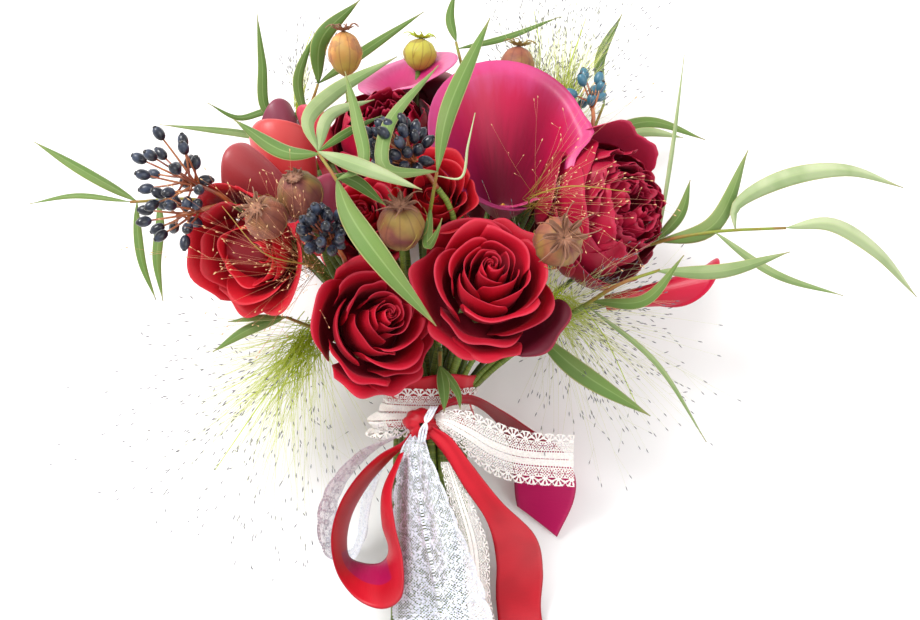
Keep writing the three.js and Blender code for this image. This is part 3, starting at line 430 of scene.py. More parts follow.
def grid_quads(index):
    """The four corners of each cell of a grid of point numbers."""
    return np.stack([index[:-1, :-1], index[:-1, 1:], index[1:, 1:], index[1:, :-1]], axis=-1)


class Frame:
    """A flower's own frame: its axis along z, and x towards the side that lip names."""

    def __init__(self, foot, aim, lip=(0, 1, 0.01)):
        self.foot = np.array(foot, float)
        axis = unit(aim)
        across = unit(np.array(lip, float))
        across = unit(across - axis * across.dot(axis))
        self.basis = np.stack([across, np.cross(axis, across), axis])

    def axis(self, heights):
        return self.foot + np.outer(heights, self.basis[2])

    def polar(self, radius, angle, height):
        local = np.stack(np.broadcast_arrays(radius * np.cos(angle), radius * np.sin(angle), height), axis=-1)
        return self.foot + local @ self.basis


class Pile:
    """The points and faces of one piece. place holds, for each point, where it is across and
    along its petal, leaf or ribbon and its own tint; side is 1 on a front face, -1 on a back."""

    def __init__(self):
        self.points = []
        self.faces = []
        self.place = []
        self.side = []
        self.total = 0

    def add(self, points, faces, place, side=1.0):
        self.points.append(points)
        self.faces.extend((np.asarray(group) + self.total).tolist() for group in faces)
        self.place.append(np.broadcast_to(place, points.shape))
        self.side.append(np.broadcast_to(side, len(points)))
        self.total += len(points)

    def sheet(self, grid, thick, tint, rim=0.3, across=None):
        """A sheet with a front and a back, thinner at its rim, round a grid of places."""
        rows, columns = grid.shape[:2]
        depth = np.full((rows, columns), thick / 2)
        depth[[0, -1], :] *= rim
        depth[:, [0, -1]] *= rim
        offset = normals(grid) * depth[..., None]
        count = rows * columns
        index = np.arange(count).reshape(rows, columns)
        quads = grid_quads(index).reshape(-1, 4)
        edge = np.concatenate([index[0], index[1:, -1], index[-1, -2::-1], index[-2:0:-1, 0]])
        after = np.roll(edge, -1)
        strip = np.stack([after, edge, edge + count, after + count], axis=-1)
        points = np.concatenate([(grid + offset).reshape(-1, 3), (grid - offset).reshape(-1, 3)])
        both = np.concatenate([grid_place(rows, columns, tint, across).reshape(-1, 3)] * 2)
        side = np.repeat([1.0, -1.0], count)
        self.add(points, [quads, quads[:, ::-1] + count, strip], both, side)

    def tube(self, path, radii, sides, place, squash=1.0):
        """A closed tube of changing radius along a path."""
        path = np.asarray(path, float)
        tangent = unit(np.gradient(path, axis=0))
        guide = np.array([0.31, 0.17, 0.93])
        if abs(tangent[0] @ guide) > 0.9:
            guide = np.array([0.93, 0.31, 0.17])
        first = np.empty_like(path)
        for k, along in enumerate(tangent):
            guide = unit(guide - along * guide.dot(along))
            first[k] = guide
        second = np.cross(tangent, first)
        angle = np.linspace(0, 2 * np.pi, sides, endpoint=False)[None, :, None]
        radii = np.asarray(radii, float)[:, None, None]
        around = np.cos(angle) * first[:, None] + squash * np.sin(angle) * second[:, None]
        rings = path[:, None] + radii * around
        rows = len(path)
        index = np.arange(rows * sides).reshape(rows, sides)
        beside = np.roll(index, -1, axis=1)
        quads = np.stack([index[:-1], beside[:-1], beside[1:], index[1:]], axis=-1).reshape(-1, 4)
        place = np.repeat(np.broadcast_to(place, (rows, 3)), sides, axis=0)
        self.add(rings.reshape(-1, 3), [quads, index[:1, ::-1], index[-1:]], place)


def grid_place(rows, columns, tint, across=None):
    """Across from -1 to 1 where it isn't given, along from 0 to 1, and one tint, for a grid."""
    place = np.empty((rows, columns, 3))
    place[..., 0] = np.linspace(-1, 1, columns) if across is None else across
    place[..., 1] = np.linspace(0, 1, rows)[:, None]
    place[..., 2] = tint
    return place


def line_place(across, along, tint):
    """The same for the rings of a tube."""
    place = np.empty((len(along), 3))
    place[:, 0] = across
    place[:, 1] = along
    place[:, 2] = tint
    return place


def piece(name, pile, material, node=None):
    """The pile as an object that rides on the bouquet and, where it has one, replaces its node."""
    mesh = bpy.data.meshes.new(name)
    faces = [face for group in pile.faces for face in group]
    mesh.from_pydata(laid(np.concatenate(pile.points)).tolist(), [], faces)
    place = mesh.attributes.new("place", "FLOAT_VECTOR", "POINT")
    place.data.foreach_set("vector", np.concatenate(pile.place).astype(np.float32).ravel())
    side = mesh.attributes.new("side", "FLOAT", "POINT")
    side.data.foreach_set("value", np.concatenate(pile.side).astype(np.float32))
    mesh.shade_smooth()
    mesh.materials.append(material)
    made = bpy.data.objects.new(name, mesh)
    bpy.context.scene.collection.objects.link(made)
    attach(made, "root")
    if node:
        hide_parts(node)
    return made


# Materials: each reads place and side from the piece that wears it

def rgb(red, green, blue):
    """A colour given as the screen shows it, 0 to 255, as Blender's linear colour."""
    part = np.array([red, green, blue], float) / 255
    linear = np.where(part <= 0.04045, part / 12.92, ((part + 0.055) / 1.055) ** 2.4)
    return (*linear.tolist(), 1.0)


class Paint:
    """A material in the making."""

    def __init__(self, name, roughness, **settings):
        self.material = bpy.data.materials.new(name)
        self.material.use_nodes = True
        self.tree = self.material.node_tree
        self.shader = self.tree.nodes["Principled BSDF"]
        self.shader.inputs["Roughness"].default_value = roughness
        for socket, value in settings.items():
            self.shader.inputs[socket.replace("_", " ")].default_value = value
        place = self.node("ShaderNodeAttribute", attribute_name="place").outputs["Vector"]
        split = self.node("ShaderNodeSeparateXYZ", {"Vector": place})
        self.place = place
        self.across, self.along, self.tint = (split.outputs[axis] for axis in "XYZ")
        self.side = self.node("ShaderNodeAttribute", attribute_name="side").outputs["Fac"]
        self.spot = self.node("ShaderNodeTexCoord").outputs["Object"]

    def node(self, kind, sockets=None, **settings):
        made = self.tree.nodes.new(kind)
        for name, value in settings.items():
            setattr(made, name, value)
        for name, value in (sockets or {}).items():
            if isinstance(value, bpy.types.NodeSocket):
                self.tree.links.new(value, made.inputs[name])
            else:
                made.inputs[name].default_value = value
        return made

    def math(self, operation, a, b=0.0):
        return self.node("ShaderNodeMath", {0: a, 1: b}, operation=operation).outputs[0]

    def band(self, value, start, end, low=0.0, high=1.0):
        """low where value is under start, high where it is over end, and smooth between."""
        sockets = {"Value": value, "From Min": start, "From Max": end, "To Min": low, "To Max": high}
        return self.node("ShaderNodeMapRange", sockets, interpolation_type="SMOOTHSTEP").outputs["Result"]

    def blend(self, first, second, value, start, end, low=0.0, high=1.0):
        """first where value is under start, second where it is over end; low and high are the
        shares of second at the two ends."""
        return self.mix(self.band(value, start, end, low, high), first, second)

    def mix(self, share, first, second):
        sockets = {"Factor": share, "A": first, "B": second}
        made = self.node("ShaderNodeMix", data_type="RGBA")
        for name, value in sockets.items():
            socket = next(s for s in made.inputs if s.name == name and (name == "Factor" or s.type == "RGBA"))
            if isinstance(value, bpy.types.NodeSocket):
                self.tree.links.new(value, socket)
            else:
                socket.default_value = value
        return next(s for s in made.outputs if s.type == "RGBA")

    def noise(self, scale, detail, stretch=(1, 1, 1), vector=None):
        moved = self.node("ShaderNodeMapping", {"Vector": vector or self.spot, "Scale": stretch})
        sockets = {"Vector": moved.outputs[0], "Scale": scale, "Detail": detail}
        return self.node("ShaderNodeTexNoise", sockets).outputs["Fac"]

    def bump(self, height, strength, distance):
        sockets = {"Height": height, "Strength": strength, "Distance": distance}
        self.tree.links.new(self.node("ShaderNodeBump", sockets).outputs[0], self.shader.inputs["Normal"])

    def colour(self, value):
        self.tree.links.new(value, self.shader.inputs["Base Color"])

    def done(self, **links):
        for socket, value in links.items():
            self.tree.links.new(value, self.shader.inputs[socket.replace("_", " ")])
        return self.material


def petal_paint(name, root, body, rim, roughness, sheen):
    """Petals: dark wine at the root, a painted shade deep in the flower, velvety red above it and a
    thin light rim, a painted highlight, a little different from petal to petal."""
    paint = Paint(name, roughness, Specular_IOR_Level=0.3, Sheen_Weight=sheen, Sheen_Roughness=0.35,
                  Sheen_Tint=rgb(255, 120, 140), Subsurface_Weight=0.08, Subsurface_Scale=0.001,
                  Subsurface_Radius=(1.0, 0.2, 0.2))
    soft = paint.noise(45, 2)
    height = paint.math("ADD", paint.along, paint.math("MULTIPLY", paint.math("SUBTRACT", soft, 0.5), 0.3))
    # Dark wine towards the root: painted shade deep in the flower
    inner = paint.blend(root, body, height, 0.2, 0.72)
    shaded = paint.blend(inner, root, paint.tint, 0.3, 1.0, 0.0, 0.3)
    # A tint above 1.2 paints the petal nearly all dark wine
    shaded = paint.blend(shaded, rgb(58, 4, 30), paint.tint, 1.2, 1.8, 0.0, 0.92)
    outer = paint.band(paint.side, -0.5, 0.5, 0.3, 0.0)
    duller = paint.mix(outer, shaded, root)
    # A tint below 0 mixes in the rim colour: painted light on a petal in full light
    duller = paint.blend(duller, rim, paint.tint, -0.9, -0.3, 0.6, 0.0)
    # A thin light band along the rim: a painted highlight
    edge = paint.band(paint.along, 0.93, 1.0, 0.0, 0.32)
    paint.colour(paint.mix(edge, duller, rim))
    veins = paint.noise(9, 2, (10, 1.2, 3), paint.place)
    paint.bump(veins, 0.16, 0.0006)
    return paint.done()


def calla_paint(name, throat, body, rim, back, left=None):
    """A calla's smooth spathe: deep in the throat, pink at the rim with light stripes of painted sheen,
    duller outside; left is a darker colour that its left side turns to, past a dark line of
    painted shade in a fold."""
    paint = Paint(name, 0.4, Specular_IOR_Level=0.42, Sheen_Weight=0.12, Sheen_Roughness=0.35,
                  Sheen_Tint=rgb(255, 190, 225), Subsurface_Weight=0.12, Subsurface_Scale=0.002,
                  Subsurface_Radius=(1.0, 0.3, 0.4))
    # The streaks draw the throat and rim colours along the spathe in stripes; the light stripes are a painted
    # sheen
    streaks = paint.noise(5, 3, (7, 0.8, 1), paint.place)
    clouds = paint.noise(16, 2)
    wander = paint.math("ADD", paint.along, paint.math("MULTIPLY", paint.math("ADD", streaks, clouds), 0.22))
    inner = paint.blend(throat, body, wander, 0.42, 0.98)
    face = paint.blend(inner, rim, wander, 0.92, 1.25)
    if left:
        sideways = paint.math("ADD", paint.across, paint.math("MULTIPLY", clouds, 0.2))
        face = paint.blend(face, left, sideways, 0.16, 0.62, 0.0, 0.75)
        # A dark line of the throat colour where the left side begins: painted shade in a fold
        fold = paint.math("ABSOLUTE", paint.math("SUBTRACT", sideways, -0.1))
        face = paint.blend(face, throat, fold, 0.02, 0.16, 0.5, 0.0)
    dusk = paint.blend(back, rim, paint.math("ADD", clouds, paint.along), 0.7, 1.5, 0.0, 0.3)
    both = paint.blend(face, dusk, paint.side, -0.5, 0.5)
    paint.colour(paint.blend(both, rgb(225, 170, 60), paint.tint, 0.5, 0.9))
    paint.bump(streaks, 0.12, 0.0008)
    return paint.done()


def leaf_paint():
    """Long leaves: green to nearly white by their tint, one half painted darker as shade on the
    folded leaf, with a thin cream margin and a faint rib.
    """
    paint = Paint("leaf", 0.5, Specular_IOR_Level=0.35, Sheen_Weight=0.1, Sheen_Roughness=0.5,
                  Subsurface_Weight=0.08, Subsurface_Scale=0.001, Subsurface_Radius=(0.4, 1.0, 0.2))
    dark = paint.blend(rgb(72, 100, 26), rgb(112, 134, 66), paint.tint, 0.1, 0.6)
    pale = paint.blend(dark, rgb(188, 197, 156), paint.tint, 0.65, 1.0)
    blotch = paint.blend(pale, rgb(92, 130, 50), paint.noise(50, 3), 0.35, 0.7, 0.0, 0.4)
    # One half darker: painted shade on the leaf folded at its rib
    fold = paint.blend(blotch, rgb(74, 112, 44), paint.across, -0.3, 0.3, 0.0, 0.35)
    width = paint.math("ABSOLUTE", paint.across)
    margin = paint.blend(fold, rgb(196, 186, 124), width, 0.86, 0.98, 0.0, 0.7)
    rib = paint.blend(margin, rgb(176, 196, 130), width, 0.03, 0.1, 0.22, 0.0)
    under = paint.blend(rib, rgb(160, 184, 140), paint.side, -0.5, 0.5, 0.3, 0.0)
    tip = paint.blend(under, rgb(164, 140, 90), paint.along, 0.86, 1.0, 0.0, 0.5)
    twig = paint.blend(rgb(132, 144, 50), rgb(150, 104, 54), paint.noise(90, 3), 0.35, 0.65)
    paint.colour(paint.blend(twig, tip, paint.tint, -0.6, -0.3))
    paint.bump(paint.noise(6, 2, (12, 2, 1), paint.place), 0.3, 0.0005)
    return paint.done()


def grass_paint():
    """Grass: yellow-green straw, pink and cream where its tint says so, and dark dry seeds."""
    paint = Paint("grass", 0.55, Specular_IOR_Level=0.3)
    near = paint.blend(rgb(186, 206, 36), rgb(214, 222, 110), paint.along, 0.1, 0.6)
    green = paint.blend(near, rgb(212, 216, 172), paint.along, 0.45, 0.95)
    pink = paint.blend(rgb(150, 116, 50), rgb(206, 136, 104), paint.along, 0.1, 0.8)
    straw = paint.blend(green, pink, paint.tint, 0.0, 1.0)
    seed = paint.blend(rgb(112, 112, 118), rgb(222, 178, 130), paint.tint, 2.0, 3.0)
    paint.colour(paint.blend(straw, seed, paint.tint, 1.4, 1.6))
    paint.bump(paint.noise(700, 2), 0.2, 0.0003)
    return paint.done()


def berry_paint():
    """Berries: slate blue with a pale bloom, a dark crown, on red-brown stalks."""
    paint = Paint("berry", 0.3, Specular_IOR_Level=0.55, Coat_Weight=0.25, Coat_Roughness=0.25)
    bloom = paint.band(paint.noise(150, 4), 0.42, 0.68)
    skin = paint.mix(paint.math("MULTIPLY", bloom, 0.6), rgb(16, 20, 34), rgb(62, 76, 102))
    teal = paint.blend(skin, rgb(66, 128, 150), paint.tint, 0.5, 1.0, 0.0, 0.75)
    crown = paint.blend(teal, rgb(26, 24, 26), paint.along, 0.9, 0.97)
    stalk = paint.blend(rgb(138, 66, 44), rgb(190, 120, 70), paint.noise(90, 3), 0.35, 0.7)
    paint.colour(paint.blend(stalk, crown, paint.tint, -0.6, -0.3))
    paint.bump(paint.noise(420, 3), 0.2, 0.0003)
    return paint.done(Roughness=paint.band(bloom, 0, 1, 0.28, 0.5))


def pod_paint():
    """Papery pods: wine to orange and olive by their tint, with dark ribs and fine nets."""
    paint = Paint("pod", 0.55, Specular_IOR_Level=0.35, Sheen_Weight=0.05, Subsurface_Weight=0.1,
                  Subsurface_Scale=0.002, Subsurface_Radius=(1.0, 0.7, 0.3))
    wine = paint.blend(rgb(112, 54, 52), rgb(160, 98, 70), paint.noise(70, 4), 0.35, 0.65)
    gold = paint.blend(rgb(224, 170, 96), rgb(200, 104, 74), paint.noise(55, 4), 0.35, 0.65)
    ground = paint.blend(wine, gold, paint.tint, 0.1, 0.9)
    olive = paint.blend(ground, rgb(150, 138, 56), paint.noise(38, 2), 0.46, 0.62, 0.0, 0.6)
    young = paint.blend(olive, rgb(172, 178, 60), paint.tint, 1.0, 1.3, 0.0, 0.8)
    low = paint.blend(young, rgb(160, 164, 66), paint.along, 0.1, 0.5, 0.45, 0.0)
    net = paint.band(paint.noise(34, 5, (1, 1, 0.5)), 0.47, 0.53)
    ribs = paint.band(paint.math("ABSOLUTE", paint.across), 0.82, 0.98)
    veined = paint.blend(low, rgb(120, 60, 56), net, 0.2, 0.8, 0.0, 0.4)
    lines = paint.mix(paint.math("MULTIPLY", ribs, 0.35), veined, rgb(92, 44, 44))
    horn = paint.blend(rgb(158, 112, 88), rgb(112, 74, 56), paint.along, 0.2, 1.0)
    fresh = paint.blend(horn, rgb(172, 190, 50), paint.tint, 2.0, 3.0)
    paint.colour(paint.blend(lines, fresh, paint.tint, 1.4, 1.6))
    paint.bump(paint.math("ADD", net, paint.noise(160, 3)), 0.35, 0.0006)
    return paint.done()


def stem_paint():
    paint = Paint("stem", 0.45, Specular_IOR_Level=0.4, Subsurface_Weight=0.08, Subsurface_Scale=0.002,
                  Subsurface_Radius=(0.5, 1.0, 0.2))
    streak = paint.noise(12, 3, (3, 40, 1), paint.place)
    fresh = paint.blend(rgb(78, 104, 34), rgb(142, 158, 62), streak, 0.35, 0.7)
    tone = paint.blend(fresh, rgb(52, 66, 28), paint.tint, 0.0, 1.0, 0.0, 0.6)
    cut = paint.band(paint.along, -0.02, 0.0)
    paint.colour(paint.mix(cut, rgb(206, 204, 150), tone))
    paint.bump(streak, 0.3, 0.0006)
    return paint.done()


def satin_paint(name, front, back, end=None, turned=None):
    """Double-faced satin: a soft gloss with broad sweeps of painted shade, fine ribs across and a
    woven edge; end is the colour that both sides take on towards the end of the ribbon, and turned
    says between which two shares of its length the inner half of the front takes the reverse's
    colour, as where it is folded over."""
    paint = Paint(name, 0.4, Specular_IOR_Level=0.28)
    weave = paint.noise(3, 2, (0.6, 420, 1), paint.place)
    # Broad sweeps along the ribbon, darker in places: painted shade and sheen of the satin's gloss
    painted_sheen_sweep = paint.noise(1.2, 1, (0.5, 5, 1), paint.place)
    if end:
        front = paint.blend(front, end, paint.along, 0.5, 0.62)
        back = paint.blend(back, end, paint.along, 0.5, 0.62)
    lit = paint.blend(front, rgb(150, 8, 24), painted_sheen_sweep, 0.4, 0.62, 0.0, 0.35)
    face = paint.blend(lit, rgb(120, 10, 30), weave, 0.3, 0.7, 0.0, 0.15)
    reverse = paint.blend(back, rgb(90, 6, 36), weave, 0.3, 0.7, 0.0, 0.15)
    both = paint.blend(face, reverse, paint.side, -0.5, 0.5)
    if turned:
        start = paint.band(paint.along, turned[0] - 0.015, turned[0])
        stop = paint.band(paint.along, turned[1], turned[1] + 0.015, 1.0, 0.0)
        inside = paint.math("MULTIPLY", start, paint.band(paint.across, -0.02, 0.04))
        both = paint.mix(paint.math("MULTIPLY", inside, stop), both, reverse)
    edge = paint.band(paint.math("ABSOLUTE", paint.across), 0.93, 0.97, 0.0, 0.35)
    paint.colour(paint.mix(edge, both, rgb(120, 14, 36)))
    paint.bump(weave, 0.12, 0.0002)
    return paint.done()


def lace_paint(name, thread, shadow, glitter):
    """Lace: matt cotton thread, or finer thread with metal glints where glitter is above 0."""
    paint = Paint(name, 0.8, Specular_IOR_Level=0.3, Sheen_Weight=0.3, Sheen_Roughness=0.6,
                  Subsurface_Weight=0.1, Subsurface_Scale=0.001)
    twist = paint.noise(900, 3)
    plain = paint.blend(thread, shadow, twist, 0.35, 0.7, 0.0, 0.45)
    glint = paint.band(paint.noise(620, 2), 0.58, 0.66, 0.0, glitter)
    paint.colour(paint.mix(glint, plain, rgb(214, 212, 222)))
    paint.bump(twist, 0.5, 0.0004)
    return paint.done(Metallic=glint, Roughness=paint.band(glint, 0, 1, 0.8, 0.3))


# Root, body and rim of each petal paint: the dark root is painted shade, the light rim a painted highlight
ROSE_RED = petal_paint("rose_red", rgb(104, 8, 26), rgb(206, 20, 48), rgb(220, 72, 98), 0.55, 0.14)
ROSE_BRIGHT = petal_paint("rose_bright", rgb(120, 8, 22), rgb(224, 30, 46), rgb(228, 80, 92), 0.45, 0.15)
PEONY_WINE = petal_paint("peony_wine", rgb(72, 4, 24), rgb(166, 12, 50), rgb(204, 54, 92), 0.45, 0.15)
# The colours of each calla: throat, body, rim, back and, where it differs, the left side
CALLA_TONES = {
    "calla_big": ("calla_magenta", (112, 6, 42), (190, 16, 72), (198, 66, 124), (134, 10, 50), (128, 26, 84)),
    "calla_top": ("calla_pink", (160, 20, 80), (188, 42, 108), (204, 84, 140), (150, 44, 62)),
    "calla_side": ("calla_red", (150, 6, 26), (190, 10, 38), (204, 20, 80), (184, 12, 40)),
    "calla_left_high": ("calla_coral", (150, 10, 30), (200, 40, 52), (216, 104, 100), (196, 52, 54)),
    "calla_left_mid": ("calla_dusky", (120, 14, 30), (160, 44, 52), (186, 96, 96), (150, 46, 52)),
    "calla_left_low": ("calla_mauve", (120, 20, 44), (160, 46, 74), (180, 84, 106), (150, 44, 72)),
    "calla_left_far": ("calla_plum", (90, 20, 40), (124, 42, 62), (148, 76, 96), (122, 46, 66)),
    "calla_left_tip": ("calla_cherry", (150, 10, 36), (196, 26, 52), (220, 110, 130), (198, 34, 58)),
}
CALLA_COLOURS = {
    name: calla_paint(colour_name, *(rgb(*tone) for tone in tones))
    for name, (colour_name, *tones) in CALLA_TONES.items()
}
LEAF = leaf_paint()
GRASS = grass_paint()
BERRY = berry_paint()
POD = pod_paint()
STEM = stem_paint()
SATIN = satin_paint("red_satin", rgb(196, 22, 40), rgb(166, 18, 78))
SATIN_LOOP = satin_paint("loop_satin", rgb(196, 22, 40), rgb(166, 18, 78), turned=(0.43, 0.64))
SATIN_MAGENTA = satin_paint("magenta_satin", rgb(168, 18, 36), rgb(168, 18, 36), end=rgb(196, 26, 96))
COTTON = lace_paint("cotton_lace", rgb(244, 238, 232), rgb(206, 196, 192), 0.0)
SILVER = lace_paint("silver_lace", rgb(238, 240, 246), rgb(150, 158, 178), 0.8)


# Petals and flowers

def petal(frame, radius, height, *, wide, tall, lean, root, angle, half, roll, point, rows, columns,
          tuck=0.05, roll_from=0.8, peak=2.5, ruffle=0.0, waves=3.0, phase=0.0, torn=0.0):
    """One petal: a patch of a cup round the flower's axis, whose rim rolls out by roll radians.

    wide, tall, lean and root shape the cup in shares of the flower's radius and height; half is
    half the petal's angle, and point is how far its rim drops towards its sides: from the middle
    where peak is 1, near the sides where it is more; torn is how deep its rim is notched."""
    u = np.linspace(-1, 1, columns)[None, :]
    t = np.linspace(0, 1, rows)[:, None] ** 0.85
    # How far each place reaches along the petal's profile, and that profile as radius and height
    notch = np.abs(np.sin(7 * u + phase) * np.sin(3.3 * u + 2 * phase))
    reach = t * (1 - point * np.abs(u) ** peak - torn * notch * t ** 4)
    corners = np.array([
        [root[0] * radius, root[1] * height],
        [1.15 * wide * radius, root[1] * height],
        [wide * radius, 0.7 * tall * height],
        [lean * wide * radius, tall * height],
    ])
    back = 1 - reach
    shares = np.stack([back ** 3, 3 * reach * back ** 2, 3 * reach ** 2 * back, reach ** 3], axis=-1)
    line = shares @ corners
    # The upper part of the profile rolls out
    step = np.diff(line, axis=0)
    turn = roll * (0.55 + 0.45 * u ** 2) * smooth(roll_from, 1, (reach[1:] + reach[:-1]) / 2)
    bent = np.stack([
        step[..., 0] * np.cos(turn) + step[..., 1] * np.sin(turn),
        step[..., 1] * np.cos(turn) - step[..., 0] * np.sin(turn),
    ], axis=-1)
    line[1:] = line[0] + np.cumsum(bent, axis=0)
    # The petal is narrow at its root and widest above the middle, and its rim waves
    spread = 0.4 + 0.6 * np.sin(np.minimum(1, 1.4 * t) * np.pi / 2) - 0.28 * t ** 4
    wave = ruffle * radius * np.sin(waves * np.pi * u + phase) * t ** 2
    out = line[..., 0] + tuck * radius * u + wave
    return frame.polar(out, angle + u * half * spread, line[..., 1] + 0.6 * wave)


def flower_frame(middle, aim, height):
    return Frame(at(*middle) - unit(aim) * height / 2, aim)


def calyx(name, frame, radius, height):
    """The green cup under a flower with its five sepals."""
    pile = Pile()
    steps = np.array([0, 0.05, 0.12, 0.18])
    path = frame.axis(steps * height)
    pile.tube(path, np.array([0.1, 0.17, 0.18, 0.1]) * radius, 10, (0.5, 0.5, 0.2))
    for k in range(5):
        angle = k * 2 * np.pi / 5 + 0.3
        grid = petal(frame, radius, height, wide=0.42, tall=0.16, lean=1.1, root=(0.12, 0.05), angle=angle,
                     half=0.26, tuck=0, roll=1.0, roll_from=0.5, point=0.75, rows=9, columns=5)
        pile.sheet(grid, SEPAL, 0.15)
    piece(name, pile, LEAF)


# Whorls of a rose from the heart out: petals, then radius and height of the rim in shares of the
# flower's, half the angle of a petal, how far the rim rolls out and how far it drops at its sides
WHORLS = (
    (3, 0.05, 0.95, 1.9, 0.0, 0.02),
    (3, 0.11, 0.98, 1.6, 0.1, 0.03),
    (3, 0.18, 1.00, 1.4, 0.2, 0.04),
    (3, 0.27, 0.99, 1.3, 0.3, 0.05),
    (3, 0.38, 0.96, 1.3, 0.5, 0.06),
    (4, 0.52, 0.91, 1.1, 0.9, 0.08),
    (4, 0.66, 0.81, 1.1, 1.3, 0.12),
    (5, 0.83, 0.62, 0.95, 1.3, 0.16),
)
OPEN_WHORLS = (
    (3, 0.20, 0.60, 1.5, 0.2, 0.04),
    (4, 0.48, 0.80, 1.2, 0.4, 0.08),
    (4, 0.68, 0.86, 1.1, 0.7, 0.12),
    (5, 0.82, 0.74, 1.0, 0.9, 0.14),
)


def rose(name, middle, aim, radius, height, eye, seed, material, loose=False, skirts=()):
    """A rose with its heart off the axis by eye; the angle of each of its skirts is in degrees,
    from the top round by the left."""
    draw = np.random.default_rng(seed)
    frame = flower_frame(middle, aim, height)
    foot = frame.foot
    heart = eye[1] * frame.basis[0] + eye[0] * frame.basis[1]
    pile = Pile()
    cup = np.array([0.04, 0.14, 0.3, 0.45, 0.56])
    path = frame.axis(cup * height) + np.outer(smooth(0.04, 0.56, cup), heart)
    pile.tube(path, np.array([0.15, 0.45, 0.52, 0.34, 0.05]) * radius, 16, (0, 0, 1))
    turn = draw.uniform(0, 6.28)
    for count, wide, tall, half, roll, point in (OPEN_WHORLS if loose else WHORLS):
        turn += 0.9
        frame.foot = foot + heart * (1 - wide ** 1.5)
        rows, columns = (14, 15) if wide < 0.3 or aim[2] < 0 else (19, 19)
        for k in range(count):
            grid = petal(
                frame, radius, height,
                wide=wide * draw.uniform(0.93, 1.05),
                tall=tall * draw.uniform(0.96, 1.03),
                lean=(0.75 if wide < 0.25 else 0.84 + 0.6 * wide ** 2.2) * draw.uniform(0.95, 1.06),
                root=(0.03 + 0.3 * wide, 0.42 - 0.36 * smooth(0, 0.6, wide)),
                angle=turn + (k + draw.uniform(-0.14, 0.14)) * 2 * math.pi / count,
                half=half * draw.uniform(0.9, 1.12),
                tuck=0.03 + 0.05 * wide,
                roll=roll * draw.uniform(0.6, 1.3),
                roll_from=0.9 - 0.32 * wide,
                point=point * draw.uniform(0.5, 1.7),
                peak=draw.uniform(1.3, 2.4),
                ruffle=0.055 * wide ** 1.5,
                waves=draw.uniform(0.8, 2.2),
                phase=draw.uniform(0, 6.28),
                rows=rows, columns=columns,
            )
            pile.sheet(grid, ROSE_PETAL, draw.uniform(0, 1), rim=0.2)
    frame.foot = foot
    for degrees, wide, tint in skirts:
        grid = petal(frame, radius, height, wide=wide, tall=0.5, lean=1.22, root=(0.3, 0.06),
                     angle=math.radians(degrees), half=0.62, tuck=0.03, roll=1.5, roll_from=0.55, point=0.14,
                     peak=1.7, ruffle=0.04, waves=1.6, phase=degrees, rows=20, columns=21)
        pile.sheet(grid, ROSE_PETAL, tint, rim=0.2)
    piece(name, pile, material, name)
    calyx(name + "_calyx", frame, radius, height)


def peony(name, middle, aim, radius, height, petals, seed, crest=()):
    """A full peony: a heart of torn petals, smooth guards round it, then skirts and its crest."""
    draw = np.random.default_rng(seed)
    frame = flower_frame(middle, aim, height)
    pile = Pile()
    core = np.array([0.05, 0.2, 0.4, 0.6, 0.72])
    path = frame.axis(core * height)
    pile.tube(path, np.array([0.1, 0.4, 0.5, 0.4, 0.15]) * radius, 12, (0, 0.1, 1))
    guards = 6
    rows, columns = (12, 17) if aim[2] < 0 else (15, 21)
    for k in range(petals):
        age = k / (petals - 1)
        guard = k >= petals - guards
        grid = petal(
            frame, radius, height,
            wide=0.2 + 0.78 * age ** 0.8,
            tall=(0.76 if guard else 0.98 - 0.1 * age ** 2) + draw.uniform(-0.08, 0.04),
            lean=(0.86 if guard else 0.62 + 0.12 * age) + draw.uniform(-0.1, 0.12),
            root=(0.08 + 0.36 * age, 0.5 - 0.4 * age),
            angle=k * GOLDEN_TURN + draw.uniform(-0.3, 0.3),
            half=0.8 if guard else draw.uniform(0.5, 0.8) + 0.4 * (1 - age),
            tuck=draw.uniform(-0.07, 0.07),
            roll=-0.3 if guard else draw.uniform(-0.5, 1.3),
            roll_from=0.78,
            point=0.1 if guard else draw.uniform(-0.06, 0.24),
            peak=draw.uniform(1.2, 2.6),
            ruffle=0.02 if guard else draw.uniform(0.01, 0.05),
            waves=1.5 if guard else draw.uniform(1.0, 2.6),
            phase=draw.uniform(0, 6.28),
            torn=0.015 if guard else draw.uniform(0.02, 0.08),
            rows=rows, columns=columns,
        )
        pile.sheet(grid, PEONY_PETAL, draw.uniform(0, 1))
    for angle in (1.2, 2.0, 2.7, 3.3, 3.9, 4.7):
        skirt = petal(frame, radius, height, wide=1.06, tall=0.55, lean=1.0, root=(0.4, 0.08), angle=angle,
                      half=0.6, roll=0.5, point=0.12, peak=1.6, ruffle=0.02, waves=1.4, phase=3 * angle,
                      torn=0.04, rows=rows, columns=columns)
        pile.sheet(skirt, PEONY_PETAL, 0.9)
    for angle, wide, tall in crest:
        grid = petal(frame, radius, height, wide=wide, tall=tall, lean=1.0, root=(0.4, 0.1), angle=angle,
                     half=0.5, roll=0.3, point=0.16, peak=1.8, ruffle=0.015, waves=1.3, phase=5 * angle,
                     torn=0.02, rows=rows, columns=columns)
        # The crest is painted lighter: painted light on petals in full light
        pile.sheet(grid, PEONY_PETAL, PAINTED_LIGHT_TINT)
    piece(name, pile, PEONY_WINE, name)
    calyx(name + "_calyx", frame, radius, height)


CALLA_NECK = 4.2
CALLA_OVERLAP = 0.35  # radians by which the two edges of the spathe lie over each other
WIDE_CALLA = 30  # a radius above which more of the spathe shows and less of the spadix


